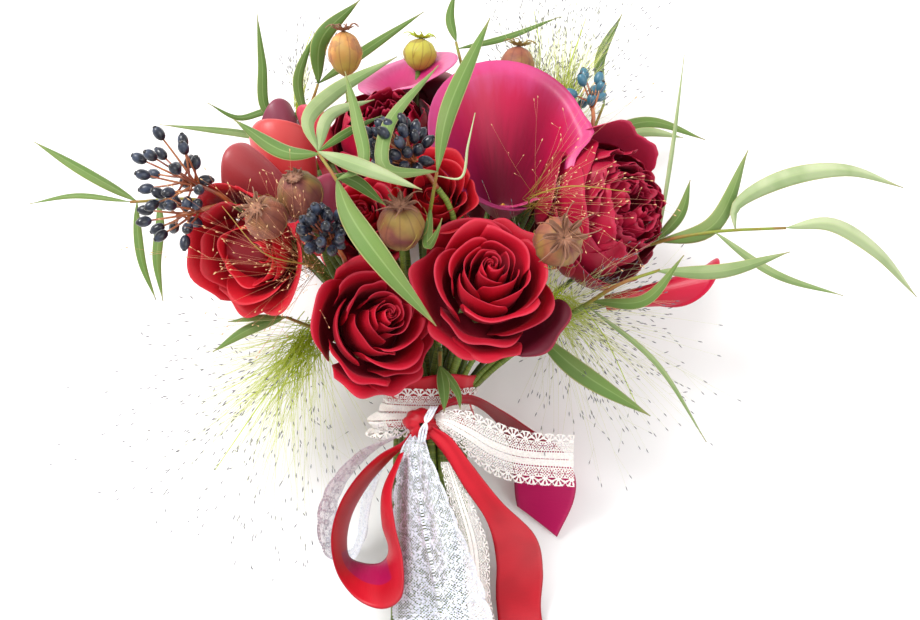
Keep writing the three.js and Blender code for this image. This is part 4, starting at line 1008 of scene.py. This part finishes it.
def calla(name, foot, aim, lip, radius, height, material, widen=1.6, low=0.4, close=0.0):
    """A funnel that widens from its neck to a tall lip, with a curled rim and a corner at its
    side, round a spadix."""
    rows, columns = (34, 61) if radius > WIDE_CALLA else (26, 45)
    frame = Frame(at(*foot), aim, lip)
    angle = np.linspace(-1, 1, columns)[None, :] * (np.pi + CALLA_OVERLAP)
    step = np.linspace(0, 1, rows)[:, None]
    turn = np.minimum(np.abs(angle), np.pi)
    reach = step * (low + (1 - low) * np.cos(turn / 2) ** 1.4)
    # The funnel, then the curl of its rim, its slow waves and its corner
    flare = CALLA_NECK + (radius - CALLA_NECK) * reach ** widen * (1 - close * reach ** 4)
    rise = height * (reach - 0.12 * reach ** 4)
    curl = smooth(0.86, 1, step) * (0.5 + 0.5 * np.sin(turn) ** 2)
    flare = flare * (1 + 0.05 * angle / np.pi * step) + 0.05 * radius * curl
    rise = rise - 0.05 * height * curl
    flare = flare + 0.02 * radius * np.sin(3 * angle + 1) * step ** 3
    corner = np.exp(-((angle + 1.5) / 0.16) ** 2) - 0.8 * np.exp(-((angle + 1.85) / 0.2) ** 2)
    flare = flare + 0.09 * radius * (1 - close) * corner * step ** 4
    grid = frame.polar(flare, angle, rise)
    # A short neck closes the foot
    base = np.linspace(0, 1, 5)[:-1, None]
    neck = frame.polar(2.6 + (flare[:1] - 2.6) * base ** 0.7, angle, rise[1] * 0.02 * base)
    grid = np.concatenate([neck, grid])
    pile = Pile()
    pile.sheet(grid, SPATHE, 0.0, rim=0.6)
    spadix = np.linspace(0.02, 0.1 if radius > WIDE_CALLA else 0.34, 8)
    path = frame.axis(spadix * height)
    radii = 0.45 * CALLA_NECK * np.array([0.5, 0.9, 1, 1, 0.95, 0.85, 0.65, 0.25])
    pile.tube(path, radii, 10, (0, 0, 1))
    piece(name, pile, material, name)


# Pods, berries, leaves and grass

POD_HEIGHT = 2.3  # in radii
POD_OUTLINE = ((0, 0.18, 0.5, 0.82, 0.94, 0.97), (0.16, 0.72, 1, 0.7, 0.2, 0.05))


def pod(name, middle, aim, radius, tint, seed, fresh=0.0, star=1.0, tall=1.0):
    """A ribbed balloon under a star of horns, with a few dry bracts round its foot."""
    draw = np.random.default_rng(seed)
    height = POD_HEIGHT * radius
    frame = flower_frame(middle, aim, height)
    height *= tall
    pile = Pile()
    rows, columns = 16, 31
    level = np.linspace(0, 0.97, rows)
    shape = curve([(*pair, 0) for pair in zip(*POD_OUTLINE)], 60)
    out = np.interp(level, shape[:, 0], shape[:, 1])[:, None]
    angle = np.linspace(0, 2 * np.pi, columns)[None, :]
    rib = 0.93 + 0.07 * np.abs(np.cos(2.5 * angle)) ** 0.6
    puffed = out * (rib + 0.02 * np.sin(11 * angle + 9 * level[:, None]))
    grid = frame.polar(puffed * radius, angle, level[:, None] * height)
    pile.sheet(grid, POD_SKIN, tint, rim=1, across=np.cos(2.5 * angle) ** 2 * 2 - 1)
    # The star: a crown of fused horns, then loose horns, then the bracts
    points = 8
    round_turn = np.linspace(0, 2 * np.pi, 6 * points + 1)[None, :]
    ray = np.abs(np.cos(round_turn * points / 2)) ** 1.5
    ring = np.linspace(0.05, 1, 5)[:, None]
    reach = ring * (0.34 + 0.4 * ray * star)
    rise = height * (0.97 + 0.1 * star * ring ** 1.5 - 0.03 * (1 - ray) * ring)
    crown = frame.polar(reach * radius, round_turn, rise)
    pile.sheet(crown, POD_STAR, HORN_TINT + fresh)
    for k in range(points):
        turn = 2 * np.pi * k / points + draw.uniform(-0.1, 0.1)
        step = np.linspace(0, 1, 8)
        far = (0.3 + star * draw.uniform(0.55, 0.85) * step) * radius
        up = height * (0.99 + 0.13 * star * np.sin(step * draw.uniform(1.8, 3.0)))
        path = frame.polar(far, turn + draw.uniform(-0.4, 0.4) * step ** 2, up)
        pile.tube(path, 0.55 - 0.35 * step, 5, (0, 0.6, HORN_TINT + fresh))
    for k in range(9):
        turn = k * GOLDEN_TURN
        step = np.linspace(0, 1, 7)
        far = (0.1 + draw.uniform(0.8, 1.1) * np.sin(step * 1.9)) * radius
        path = frame.polar(far, turn + 0.5 * step ** 2, height * (0.02 + draw.uniform(0.5, 0.8) * step))
        pile.tube(path, 0.3 - 0.2 * step, 4, (0, 0.1, 0.6))
    piece(name, pile, POD, name)


BERRY_RADIUS = 2.8
BERRY_LENGTH = 7.9


def berry(pile, root, tip, tint):
    """An oval berry on its stalk, with the dry crown of its flower at the far end."""
    along = unit(tip - root)
    start = tip - along * BERRY_LENGTH / 2
    stalk = curve([root, (root + start) / 2 + [0.6, -0.4, 0.3], start + along], 5)
    pile.tube(stalk, np.linspace(0.75, 0.5, 6), 5, (0, 0.5, STALK_TINT))
    turn = np.linspace(0, np.pi, 9)
    body = tip - np.outer(np.cos(turn), along) * BERRY_LENGTH / 2
    radii = BERRY_RADIUS * np.maximum(np.sin(turn), 0.12) ** 0.85
    pile.tube(body, radii, 10, line_place(0, np.linspace(0, 0.88, 9), tint))
    top = tip + along * (BERRY_LENGTH / 2 - 0.4)
    pile.tube([top, top + along * 0.5, top + along * 0.9], [1.0, 1.25, 0.5], 6, (0, 1, tint))


def berries(name, fork, clusters, tint, seed):
    draw = np.random.default_rng(seed)
    pile = Pile()
    start = at(*fork)
    for number, (px, py, depth, radius, count) in enumerate(clusters):
        middle = at(px, py, depth)
        inner = start + (middle - start) * 0.45
        outer = middle + (start - middle) * 0.1
        stalk = curve([start, (start + inner) / 2 + 1.0, outer], 8)
        pile.tube(stalk, np.linspace(1.5, 1.0, 9), 7, (0, 0.5, STALK_TINT))
        for k in range(count):
            level = 1 - 2 * (k + 0.5) / count
            flat = math.sqrt(1 - level * level)
            turn = k * GOLDEN_TURN + number
            way = np.array([flat * math.cos(turn), flat * math.sin(turn), level])
            reach = radius * draw.uniform(0.55, 0.98)
            root = inner + (outer - inner) * (k + 0.5) / count
            berry(pile, root, middle + way * reach, tint)
    piece(name, pile, BERRY, name)


def blade(pile, spine, width, tint, twist):
    """A long narrow leaf along its spine, a little folded at its rib."""
    rows, columns = 26, 7
    path = even(spine, rows - 1)
    along = unit(np.gradient(path, axis=0))
    side = unit(np.cross(along, [0.15, 0.2, 1.0]))
    up = np.cross(side, along)
    t = np.linspace(0, 1, rows)[:, None, None]
    u = np.linspace(-1, 1, columns)[None, :, None]
    turn = twist * np.sin(np.pi * t)
    flat = side[:, None] * np.cos(turn) + up[:, None] * np.sin(turn)
    raised = up[:, None] * np.cos(turn) - side[:, None] * np.sin(turn)
    half = np.maximum(width / 2 * np.sin(np.pi * t ** 0.8), 0.25)
    ripple = 0.04 * half * np.sin(9 * t + 2 * u)
    grid = path[:, None] + flat * half * u + raised * (0.5 - 0.22 * half * np.abs(u) ** 1.3 + ripple)
    pile.sheet(grid, LEAF_BLADE, tint, rim=0.4)


ROOT_REACH = 8.0  # a leaf that starts nearer the twig than this starts in it


def branch(name, twig, leaves, seed):
    draw = np.random.default_rng(seed)
    pile = Pile()
    line = curve([at(*place) for place in twig], 40)
    pile.tube(line[::4], np.linspace(1.25, 0.8, 11), 7, (0, 0.5, STALK_TINT))
    for width, tint, spine in leaves:
        places = [at(*place) for place in spine]
        away = np.linalg.norm(line - places[0], axis=1)
        joint = line[int(np.argmin(away))]
        if away.min() < ROOT_REACH:
            places = places[1:]
        blade(pile, [joint, *places], width * PIXEL, tint, draw.uniform(-0.3, 0.3))
    piece(name, pile, LEAF, name)


def grass(name, stalk, straws, length, spread, pink, seed):
    """A spray of straws that leave the stalk near its root, run along it and fan out; pink straws
    are finer, fork more and end in smaller seeds."""
    draw = np.random.default_rng(seed)
    fine = pink > 0.5
    thick = 0.13 if fine else 0.25
    seed_tint = PINK_SEED_TINT if fine else SEED_TINT
    seed_steps = [-0.2, 0.8, 1.5] if fine else [-0.2, 1.1, 2.4]
    seed_radius = 0.32 if fine else 0.3
    pile = Pile()
    line = curve([at(*place) for place in stalk], 60)
    pile.tube(line[::5], np.linspace(0.6, 0.2, 13), 5, (0, 0.1, pink))
    step = np.linspace(0, 1, 8)[:, None]
    for k in range(straws):
        goal = 0.2 + 0.8 * draw.uniform(0, 1) ** (1.0 if fine else 1.5)
        root = line[int(60 * goal * draw.uniform(0.02, 0.4))] + draw.normal(0, 0.05 * length, 3) * [1, 1, 0.3]
        spot = int(59 * goal)
        along = unit(line[spot + 1] - line[spot])
        side = unit(np.cross(along, [0, 0, 1.0]))
        up = np.cross(side, along)
        turn = k * GOLDEN_TURN + seed
        wide = spread * draw.uniform(0.1, 0.8) * length
        out = side * wide * math.cos(turn) + up * 0.4 * wide * math.sin(turn)
        end = line[spot] + out + along * length * draw.uniform(0.1, 0.55)
        middle = (root + line[spot]) / 2 + 0.25 * out
        path = root * (1 - step) ** 2 + 2 * middle * step * (1 - step) + end * step ** 2
        pile.tube(path, 0.05 + thick * (1 - step[:, 0]) ** 2, 3, line_place(0, step[:, 0], pink))
        ends = [(path[-1], unit(path[-1] - path[-2]))]
        for _ in range(3 if fine else draw.integers(0, 3)):
            fork = path[draw.integers(3, 8)]
            grow = unit(ends[0][1] + draw.normal(0, 0.5, 3) * [1, 1, 0.5])
            tip = fork + grow * draw.uniform(0.08, 0.22) * length
            pile.tube([fork, tip], [0.07, 0.05], 3, (0, 0.9, pink))
            ends.append((tip, grow))
        for tip, grow in ends:
            body = tip + np.outer(seed_steps, grow)
            pile.tube(body, [0.1, seed_radius, 0.08], 4, (0, 0.9, seed_tint))
    piece(name, pile, GRASS, name)


# Stems: each runs from the foot of what it carries, through the binding, to a cut end

def tangent_at_start(places):
    line = curve(places, 2000)
    return unit(line[1] - line[0])


def stem_tips():
    """The end, the direction and the radius of each stem, in the order of the flowers."""
    seat = 0.35
    tips = []
    for flower in [*ROSES.values(), *PEONIES.values()]:
        aim = unit(flower["aim"])
        tips.append((at(*flower["middle"]) - aim * (flower["height"] / 2 + seat), aim, FLOWER_STEM))
    for flower in CALLAS.values():
        aim = unit(flower["aim"])
        tips.append((at(*flower["foot"]) - aim * seat, aim, FLOWER_STEM))
    for fruit in PODS.values():
        aim = unit(fruit["aim"])
        tips.append((at(*fruit["middle"]) - aim * (POD_HEIGHT / 2 * fruit["radius"] + seat), aim, FINE_STEM))
    for spray in BERRIES.values():
        fork = at(*spray["fork"])
        aim = unit(at(*spray["clusters"][0][:3]) - fork)
        tips.append((fork - aim * seat, aim, FINE_STEM))
    for line in [*(b["twig"] for b in BRANCHES.values()), *(g["stalk"] for g in GRASSES.values())]:
        places = [at(*place) for place in line]
        aim = tangent_at_start(places)
        tips.append((places[0] - aim * seat, aim, FINE_STEM))
    return tips


def bundle_slots():
    slots = []
    for row in range(-4, 5):
        for column in range(-5, 6):
            x = (column + math.fmod(row, 2) / 2) * STEM_PITCH
            z = row * STEM_PITCH * math.sqrt(0.75)
            if math.hypot(x, z) < BUNDLE_RADIUS - 2.8:
                slots.append(np.array([x, 0, z]))
    return slots


def stems():
    """Every flower's stem down into the binding, and every cut end below it."""
    draw = np.random.default_rng(7)
    pile = Pile()
    rows = 15
    free = bundle_slots()
    tips = sorted(stem_tips(), key=lambda tip: -math.hypot(tip[0][0], tip[0][2]) / tip[0][1])
    t = np.linspace(0, 1, rows)[:, None]
    for tip, aim, radius in tips:
        wish = np.array([tip[0], 0, tip[2]]) * BUNDLE_RADIUS / max(tip[1], 30)
        wish *= min(1, BUNDLE_RADIUS / np.linalg.norm(wish))
        free.sort(key=lambda slot: np.linalg.norm(slot - wish))
        slot = free.pop(0)
        places = [slot, slot + [0.12 * tip[0], 0.3 * tip[1], 0.12 * tip[2]],
                  tip - aim * 0.3 * np.linalg.norm(tip - slot), tip]
        path = ((1 - t) ** 3 * places[0] + 3 * t * (1 - t) ** 2 * places[1]
                + 3 * t ** 2 * (1 - t) * places[2] + t ** 3 * places[3])
        place = line_place(draw.uniform(-1, 1), t[:, 0], draw.uniform(0, 1))
        knuckle = 1 + 0.12 * np.exp(-((t[:, 0] - draw.uniform(0.4, 0.8)) / 0.03) ** 2)
        pile.tube(path, radius * STEM_FIT * knuckle, 9, place)
    for slot in bundle_slots():
        turned_x = slot[0] * math.cos(SPIRAL_TURN) + slot[2] * math.sin(SPIRAL_TURN)
        turned_z = slot[2] * math.cos(SPIRAL_TURN) - slot[0] * math.sin(SPIRAL_TURN)
        foot = np.array([turned_x, 0, turned_z]) * SPREAD
        foot[1] = -HANDLE_LENGTH * draw.uniform(0.94, 0.995)
        path = slot + (foot - slot) * t
        place = line_place(draw.uniform(-1, 1), 1 - t[:, 0], draw.uniform(0, 1))
        pile.tube(path, np.full(rows, FLOWER_STEM * STEM_FIT), 9, place)
    piece("stems", pile, STEM, "stems")


# Ribbons and lace

def ribbon_grid(left, right, rows, columns):
    """A ribbon between its two edges, with rows at nearly even distances."""
    fine = [curve([at(*place) for place in edge], 400) for edge in (left, right)]
    middle = (fine[0] + fine[1]) / 2
    run = np.concatenate([[0], np.cumsum(np.linalg.norm(np.diff(middle, axis=0), axis=1))])
    wish = np.linspace(0, run[-1], rows)
    edges = [np.stack([np.interp(wish, run, edge[:, k]) for k in range(3)], axis=1) for edge in fine]
    share = np.linspace(0, 1, columns)[None, :, None]
    return edges[0][:, None] * (1 - share) + edges[1][:, None] * share


def satin_ribbon(name, left, right, width, length, material):
    rows, columns = 150, 13
    grid = ribbon_grid(left, right, rows, columns)
    u = np.linspace(-1, 1, columns)[None, :]
    t = np.linspace(0, 1, rows)[:, None]
    crease = 0.35 * np.sin(5 * u + 9 * t) * np.exp(-12 * t) * 3 - 0.5 * (1 - u ** 2)
    grid = grid + normals(grid) * crease[..., None]
    pile = Pile()
    pile.sheet(grid, SATIN_CLOTH, 0.0, rim=0.8)
    made = piece(name, pile, material, name)


def cotton_holes(edge, run, half):
    """Where a cotton lace has no thread: edge is the distance from its nearer edge, run the
    distance along it, both in millimetres, and half is half its width."""
    pitch = 7.0
    phase = np.mod(run, pitch) / pitch
    across = (phase - 0.5) * pitch
    outside = edge < 1.6 * (1 - np.abs(np.sin(np.pi * phase)) ** 0.6) + 0.25 * np.cos(2 * np.pi * run / 1.0)
    down = 4.6 - edge
    far = np.hypot(across, down)
    ray = np.cos(9 * np.arctan2(across, down))
    # A scalloped border of fans under bows, blooms in a net, a row of eyelets and a middle seam
    fan = (far > 1.5) & (far < 3.9) & (ray > 0.0) & (down > 0)
    bow = (np.abs(far - 4.5) < 0.22) & (np.cos(7 * np.arctan2(across, down)) > -0.2) & (down > 0)
    shifted = np.mod(run + pitch / 2, pitch) - pitch / 2
    bloom_far = np.hypot(shifted, edge - 7.0)
    petals = np.cos(6 * np.arctan2(shifted, edge - 7.0))
    flower = (bloom_far < 1.9) & ~((bloom_far > 0.5) & (petals > -0.3))
    in_net = (edge > 4.9) & (edge < 9.3) & (bloom_far > 2.2)
    net = in_net & (np.cos(2 * np.pi * (run + edge) / 1.5) + np.cos(2 * np.pi * (run - edge) / 1.5) > 0.15)
    eyelet = (np.abs(np.mod(run, 1.5) - 0.75) < 0.48) & (edge > 9.8) & (edge < 10.6)
    centre = (np.abs(np.mod(run, 0.9) - 0.45) < 0.26) & (half - edge < 0.4)
    return outside | fan | bow | flower | net | eyelet | centre


# Blooms of the fine lace: distance from the edge, start along it, radius and number of petals
BLOOMS = (
    (5.6, 0.0, 2.9, 5), (10.4, 6.0, 3.1, 6), (15.4, 1.5, 3.1, 5), (20.4, 7.5, 3.1, 6), (7.0, 5.4, 1.7, 4),
    (12.6, 10.9, 1.8, 4), (17.6, 5.6, 1.8, 4), (10.0, 0.4, 1.6, 4), (15.2, 8.0, 1.6, 4),
    (21.6, 2.4, 1.7, 4),
)


def silver_holes(edge, run, half):
    """Where the fine lace has no thread: a net between blooms and sprigs, and a waved border."""
    pitch = 12.0
    phase = np.mod(run, pitch) / pitch
    outside = edge < 1.8 * (1 - np.abs(np.sin(np.pi * phase)) ** 0.7) + 0.3 * np.cos(2 * np.pi * run / 1.5)
    net = np.cos(2 * np.pi * (run + edge) / 1.5) + np.cos(2 * np.pi * (run - edge) / 1.5) > 0.1
    solid = (edge > 2.2) & (edge < 3.0)
    for level, start, size, petals in BLOOMS:
        along = np.mod(run - start + pitch / 2, pitch) - pitch / 2
        far = np.hypot(along, edge - level)
        wave = np.cos(petals * np.arctan2(along, edge - level) + level)
        bloom = far < size * (0.72 + 0.28 * wave)
        ring = np.abs(far - 0.35 * size) < 0.22
        cleft = (wave < -0.75) & (far > 0.4 * size)
        solid = solid | (bloom & ~ring & ~cleft)
    vine = 10.0 + 3.2 * np.sin(2 * np.pi * run / 17.0)
    solid = solid | (np.abs(edge - vine) < 0.4) | (np.abs(edge - vine - 7) < 0.35)
    return outside | (net & ~solid & (edge > 1.8))


def lace_piece(name, grid, width, length, holes, material, slot, **sheet):
    """A sheet of lace on a fine grid, with its holes left out of the mesh."""
    rows, columns = grid.shape[:2]
    across = np.linspace(0, width, columns)
    along = np.linspace(0, length, rows)
    mid_across = (across[1:] + across[:-1])[None, :] / 2
    mid_along = (along[1:] + along[:-1])[:, None] / 2
    edge = np.minimum(mid_across, width - mid_across) + 0 * mid_along
    missing = holes(edge, mid_along + 0 * mid_across, width / 2)
    index = np.arange(rows * columns).reshape(rows, columns)
    quads = grid_quads(index)[~missing]
    used = np.unique(quads)
    renumber = np.full(rows * columns, -1)
    renumber[used] = np.arange(len(used))
    pile = Pile()
    place = grid_place(rows, columns, 0.0).reshape(-1, 3)
    pile.add(grid.reshape(-1, 3)[used], [renumber[quads]], place[used])
    made = piece(name, pile, material, name)


def lace_ribbon(name, left, right, width, length, holes, material, slot, cell, folds, pleat=0.0):
    rows = int(length / cell)
    columns = int(width / cell)
    grid = ribbon_grid(left, right, rows, columns)
    u = np.linspace(-1, 1, columns)[None, :]
    t = np.linspace(0, 1, rows)[:, None]
    amount, count, drift = folds
    wave = amount * np.sin(count * np.pi * u + drift * t) * (0.3 + 0.7 * smooth(0, 0.3, t))
    wave = wave + pleat * smooth(0.1, 0.3, t) * np.exp(-np.abs(u + 0.1 - 0.2 * t) / 0.12)
    grid = grid + normals(grid) * wave[..., None]
    lace_piece(name, grid, width, length, holes, material, slot, held="hung", rests_on=["satin_knot"])


def band_grid(radius, low_edge, high_edge, rows, columns):
    """A sleeve round the binding, from its lower to its upper edge."""
    angle = np.linspace(-np.pi, np.pi, columns)[None, :]
    y = np.linspace(low_edge, high_edge, rows)[:, None]
    flare = np.where(y < 0, BAND_FLARE[0] * (y / low_edge), BAND_FLARE[1] * (y / high_edge))
    return angle, y, radius + flare


def sleeve(out, angle, y):
    """The places of a sleeve that lies out from the middle, with its rows round the binding."""
    grid = np.stack(np.broadcast_arrays(out * np.sin(angle), y, out * np.cos(angle)), axis=-1)
    return grid.transpose(1, 0, 2)


def satin_band():
    """The red satin round the binding, a little creased, with a waved upper edge."""
    angle, y, out = band_grid(BUNDLE_RADIUS + 0.8, -14, 14, 15, 121)
    out = out + 0.35 * np.sin(7 * angle + 0.3 * y) + 0.2 * np.sin(17 * angle)
    rim = y + smooth(0, 14, y) * (1.2 * np.sin(2 * angle + 0.5) + 0.5 * np.sin(5 * angle))
    grid = sleeve(out, angle, rim)
    pile = Pile()
    pile.sheet(grid, SATIN_CLOTH, 0.0, rim=0.9)
    made = piece("satin_band", pile, SATIN, "satin_band")


def lace_band():
    """The lace round the binding, puffed out in loose folds on the left."""
    width, length, cell = 29.0, 172.0, 0.36
    rows, columns = int(width / cell), int(length / cell)
    angle, y, out = band_grid(BUNDLE_RADIUS + 1.7, -18, 8, rows, columns)
    # left is 1 where the lace is puffed out and 0 elsewhere
    left = np.exp(-((angle + np.pi / 2) / 0.75) ** 2)
    puff = left * (9 * np.exp(-((y + 11) / 8) ** 2) + 1.6 * np.sin(1.1 * y + 5 * angle))
    out = out + puff + 0.5 * np.sin(9 * angle + 0.25 * y) + left * 0.9 * np.sin(0.9 * y + 3 * angle)
    drop = y - left * smooth(0, -18, y) * 5
    grid = sleeve(out, angle, drop)
    lace_piece("lace_band", grid, width, length, cotton_holes, COTTON, "cotton_lace", held="folded",
               rests_on=["satin_band"])


def knot():
    """The satin knot in front, two soft lobes with a fold between them, and the twisted strands
    of fine lace that come over it."""
    middle = at(422, 424, 30)
    rows, columns = 25, 49
    turn = np.linspace(-np.pi / 2, np.pi / 2, rows)[:, None]
    angle = np.linspace(0, 2 * np.pi, columns)[None, :]
    fold = 1 - 0.28 * np.exp(-((np.sin(angle - 0.5)) / 0.28) ** 2) + 0.05 * np.sin(9 * angle + 4 * turn)
    x = 10.0 * np.cos(turn) * np.cos(angle) * fold
    y = 8.2 * np.cos(turn) * np.sin(angle) * fold
    z = 5.5 * np.sin(turn) + 0 * angle
    grid = middle + np.stack([x, y, z], axis=-1)
    pile = Pile()
    pile.sheet(grid[1:-1, ::-1], KNOT_CLOTH, 0.0, rim=1, across=np.linspace(-0.5, 0.5, columns))
    piece("satin_knot", pile, SATIN, "satin_knot")
    twist = Pile()
    for offset in (-2.5, 0.0, 2.5):
        path = curve([at(434 + offset, 407, 35), at(428 + offset, 418, 38), at(424 - offset, 428, 38),
                      at(421 - offset, 442, 35)], 18)
        twist.tube(path, 1.1 + 0.4 * np.sin(np.linspace(offset, 9, 19)) ** 2, 9, (0, 0, 0), squash=0.5)
    piece("lace_twist", twist, SILVER)


# The bouquet

for number, (name, size) in enumerate(ROSES.items()):
    rose(name, **size, seed=number + 1, material=ROSE_BRIGHT if "loose" in size else ROSE_RED)
for number, (name, size) in enumerate(PEONIES.items()):
    peony(name, **size, seed=number + 21)
for name, size in CALLAS.items():
    calla(name, **size, material=CALLA_COLOURS[name])
for number, (name, size) in enumerate(PODS.items()):
    pod(name, **size, seed=number + 41)
for number, (name, size) in enumerate(BERRIES.items()):
    berries(name, **size, tint=1.0 if name == "berries_right" else 0.0, seed=number + 61)
for number, (name, size) in enumerate(BRANCHES.items()):
    branch(name, **size, seed=number + 81)
for number, (name, size) in enumerate(GRASSES.items()):
    grass(name, **size, seed=number + 1)
stems()
satin_band()
lace_band()
knot()
for name, material in (("satin_tail", SATIN), ("satin_loop", SATIN_LOOP), ("satin_end", SATIN_MAGENTA)):
    satin_ribbon(name, **RIBBONS[name], material=material)
for name in ("cotton_end", "cotton_tail"):
    lace_ribbon(name, **RIBBONS[name], holes=cotton_holes, material=COTTON, slot="cotton_lace")
for name in ("silver_tail", "silver_loop"):
    lace_ribbon(name, **RIBBONS[name], holes=silver_holes, material=SILVER, slot="silver_lace")


# The surface, the light and the camera

def stage_paint():
    material = bpy.data.materials.new("white_surface")
    material.use_nodes = True
    shader = material.node_tree.nodes["Principled BSDF"]
    shader.inputs["Base Color"].default_value = rgb(250, 249, 249)
    shader.inputs["Roughness"].default_value = 0.9
    return material


def stage():
    half = 6.0
    mesh = bpy.data.meshes.new("surface")
    corners = [(-half, -half, 0), (half, -half, 0), (half, half, 0), (-half, half, 0)]
    mesh.from_pydata(corners, [], [(0, 1, 2, 3)])
    mesh.materials.append(stage_paint())
    surface = bpy.data.objects.new("surface", mesh)
    bpy.context.scene.collection.objects.link(surface)


def area_light(name, place, size, power):
    """A round white lamp that faces the bouquet."""
    light = bpy.data.lights.new(name, "AREA")
    light.shape = "DISK"
    light.size = size
    light.energy = power
    lamp = bpy.data.objects.new(name, light)
    lamp.location = place
    lamp.rotation_euler = (Vector((0, 0, 0.05)) - Vector(place)).to_track_quat("-Z", "Y").to_euler()
    bpy.context.scene.collection.objects.link(lamp)


def camera():
    """The eye that the picture was seen from, which fills its width with the picture's."""
    sensor = 36
    data = bpy.data.cameras.new("camera")
    data.sensor_width = sensor
    data.lens = sensor * VIEW_DISTANCE / (PICTURE_WIDTH * PIXEL)
    eye = bpy.data.objects.new("camera", data)
    eye.location = laid(at(*PICTURE_CENTRE, 0) + [0, 0, VIEW_DISTANCE])
    eye.rotation_euler = Euler((LEAN, 0, 0))
    bpy.context.scene.collection.objects.link(eye)
    bpy.context.scene.camera = eye


def studio(strength):
    """Even white light from all round."""
    world = bpy.data.worlds.new("studio")
    world.use_nodes = True
    background = world.node_tree.nodes["Background"]
    background.inputs["Color"].default_value = (1.0, 1.0, 1.0, 1)
    background.inputs["Strength"].default_value = strength
    bpy.context.scene.world = world


stage()
camera()
area_light("key", place=(-0.9, 0.8, 1.5), size=0.9, power=32)
area_light("fill", place=(1.1, -0.5, 1.4), size=1.4, power=10)
studio(strength=0.9)
bpy.context.scene.view_settings.view_transform = "Standard"
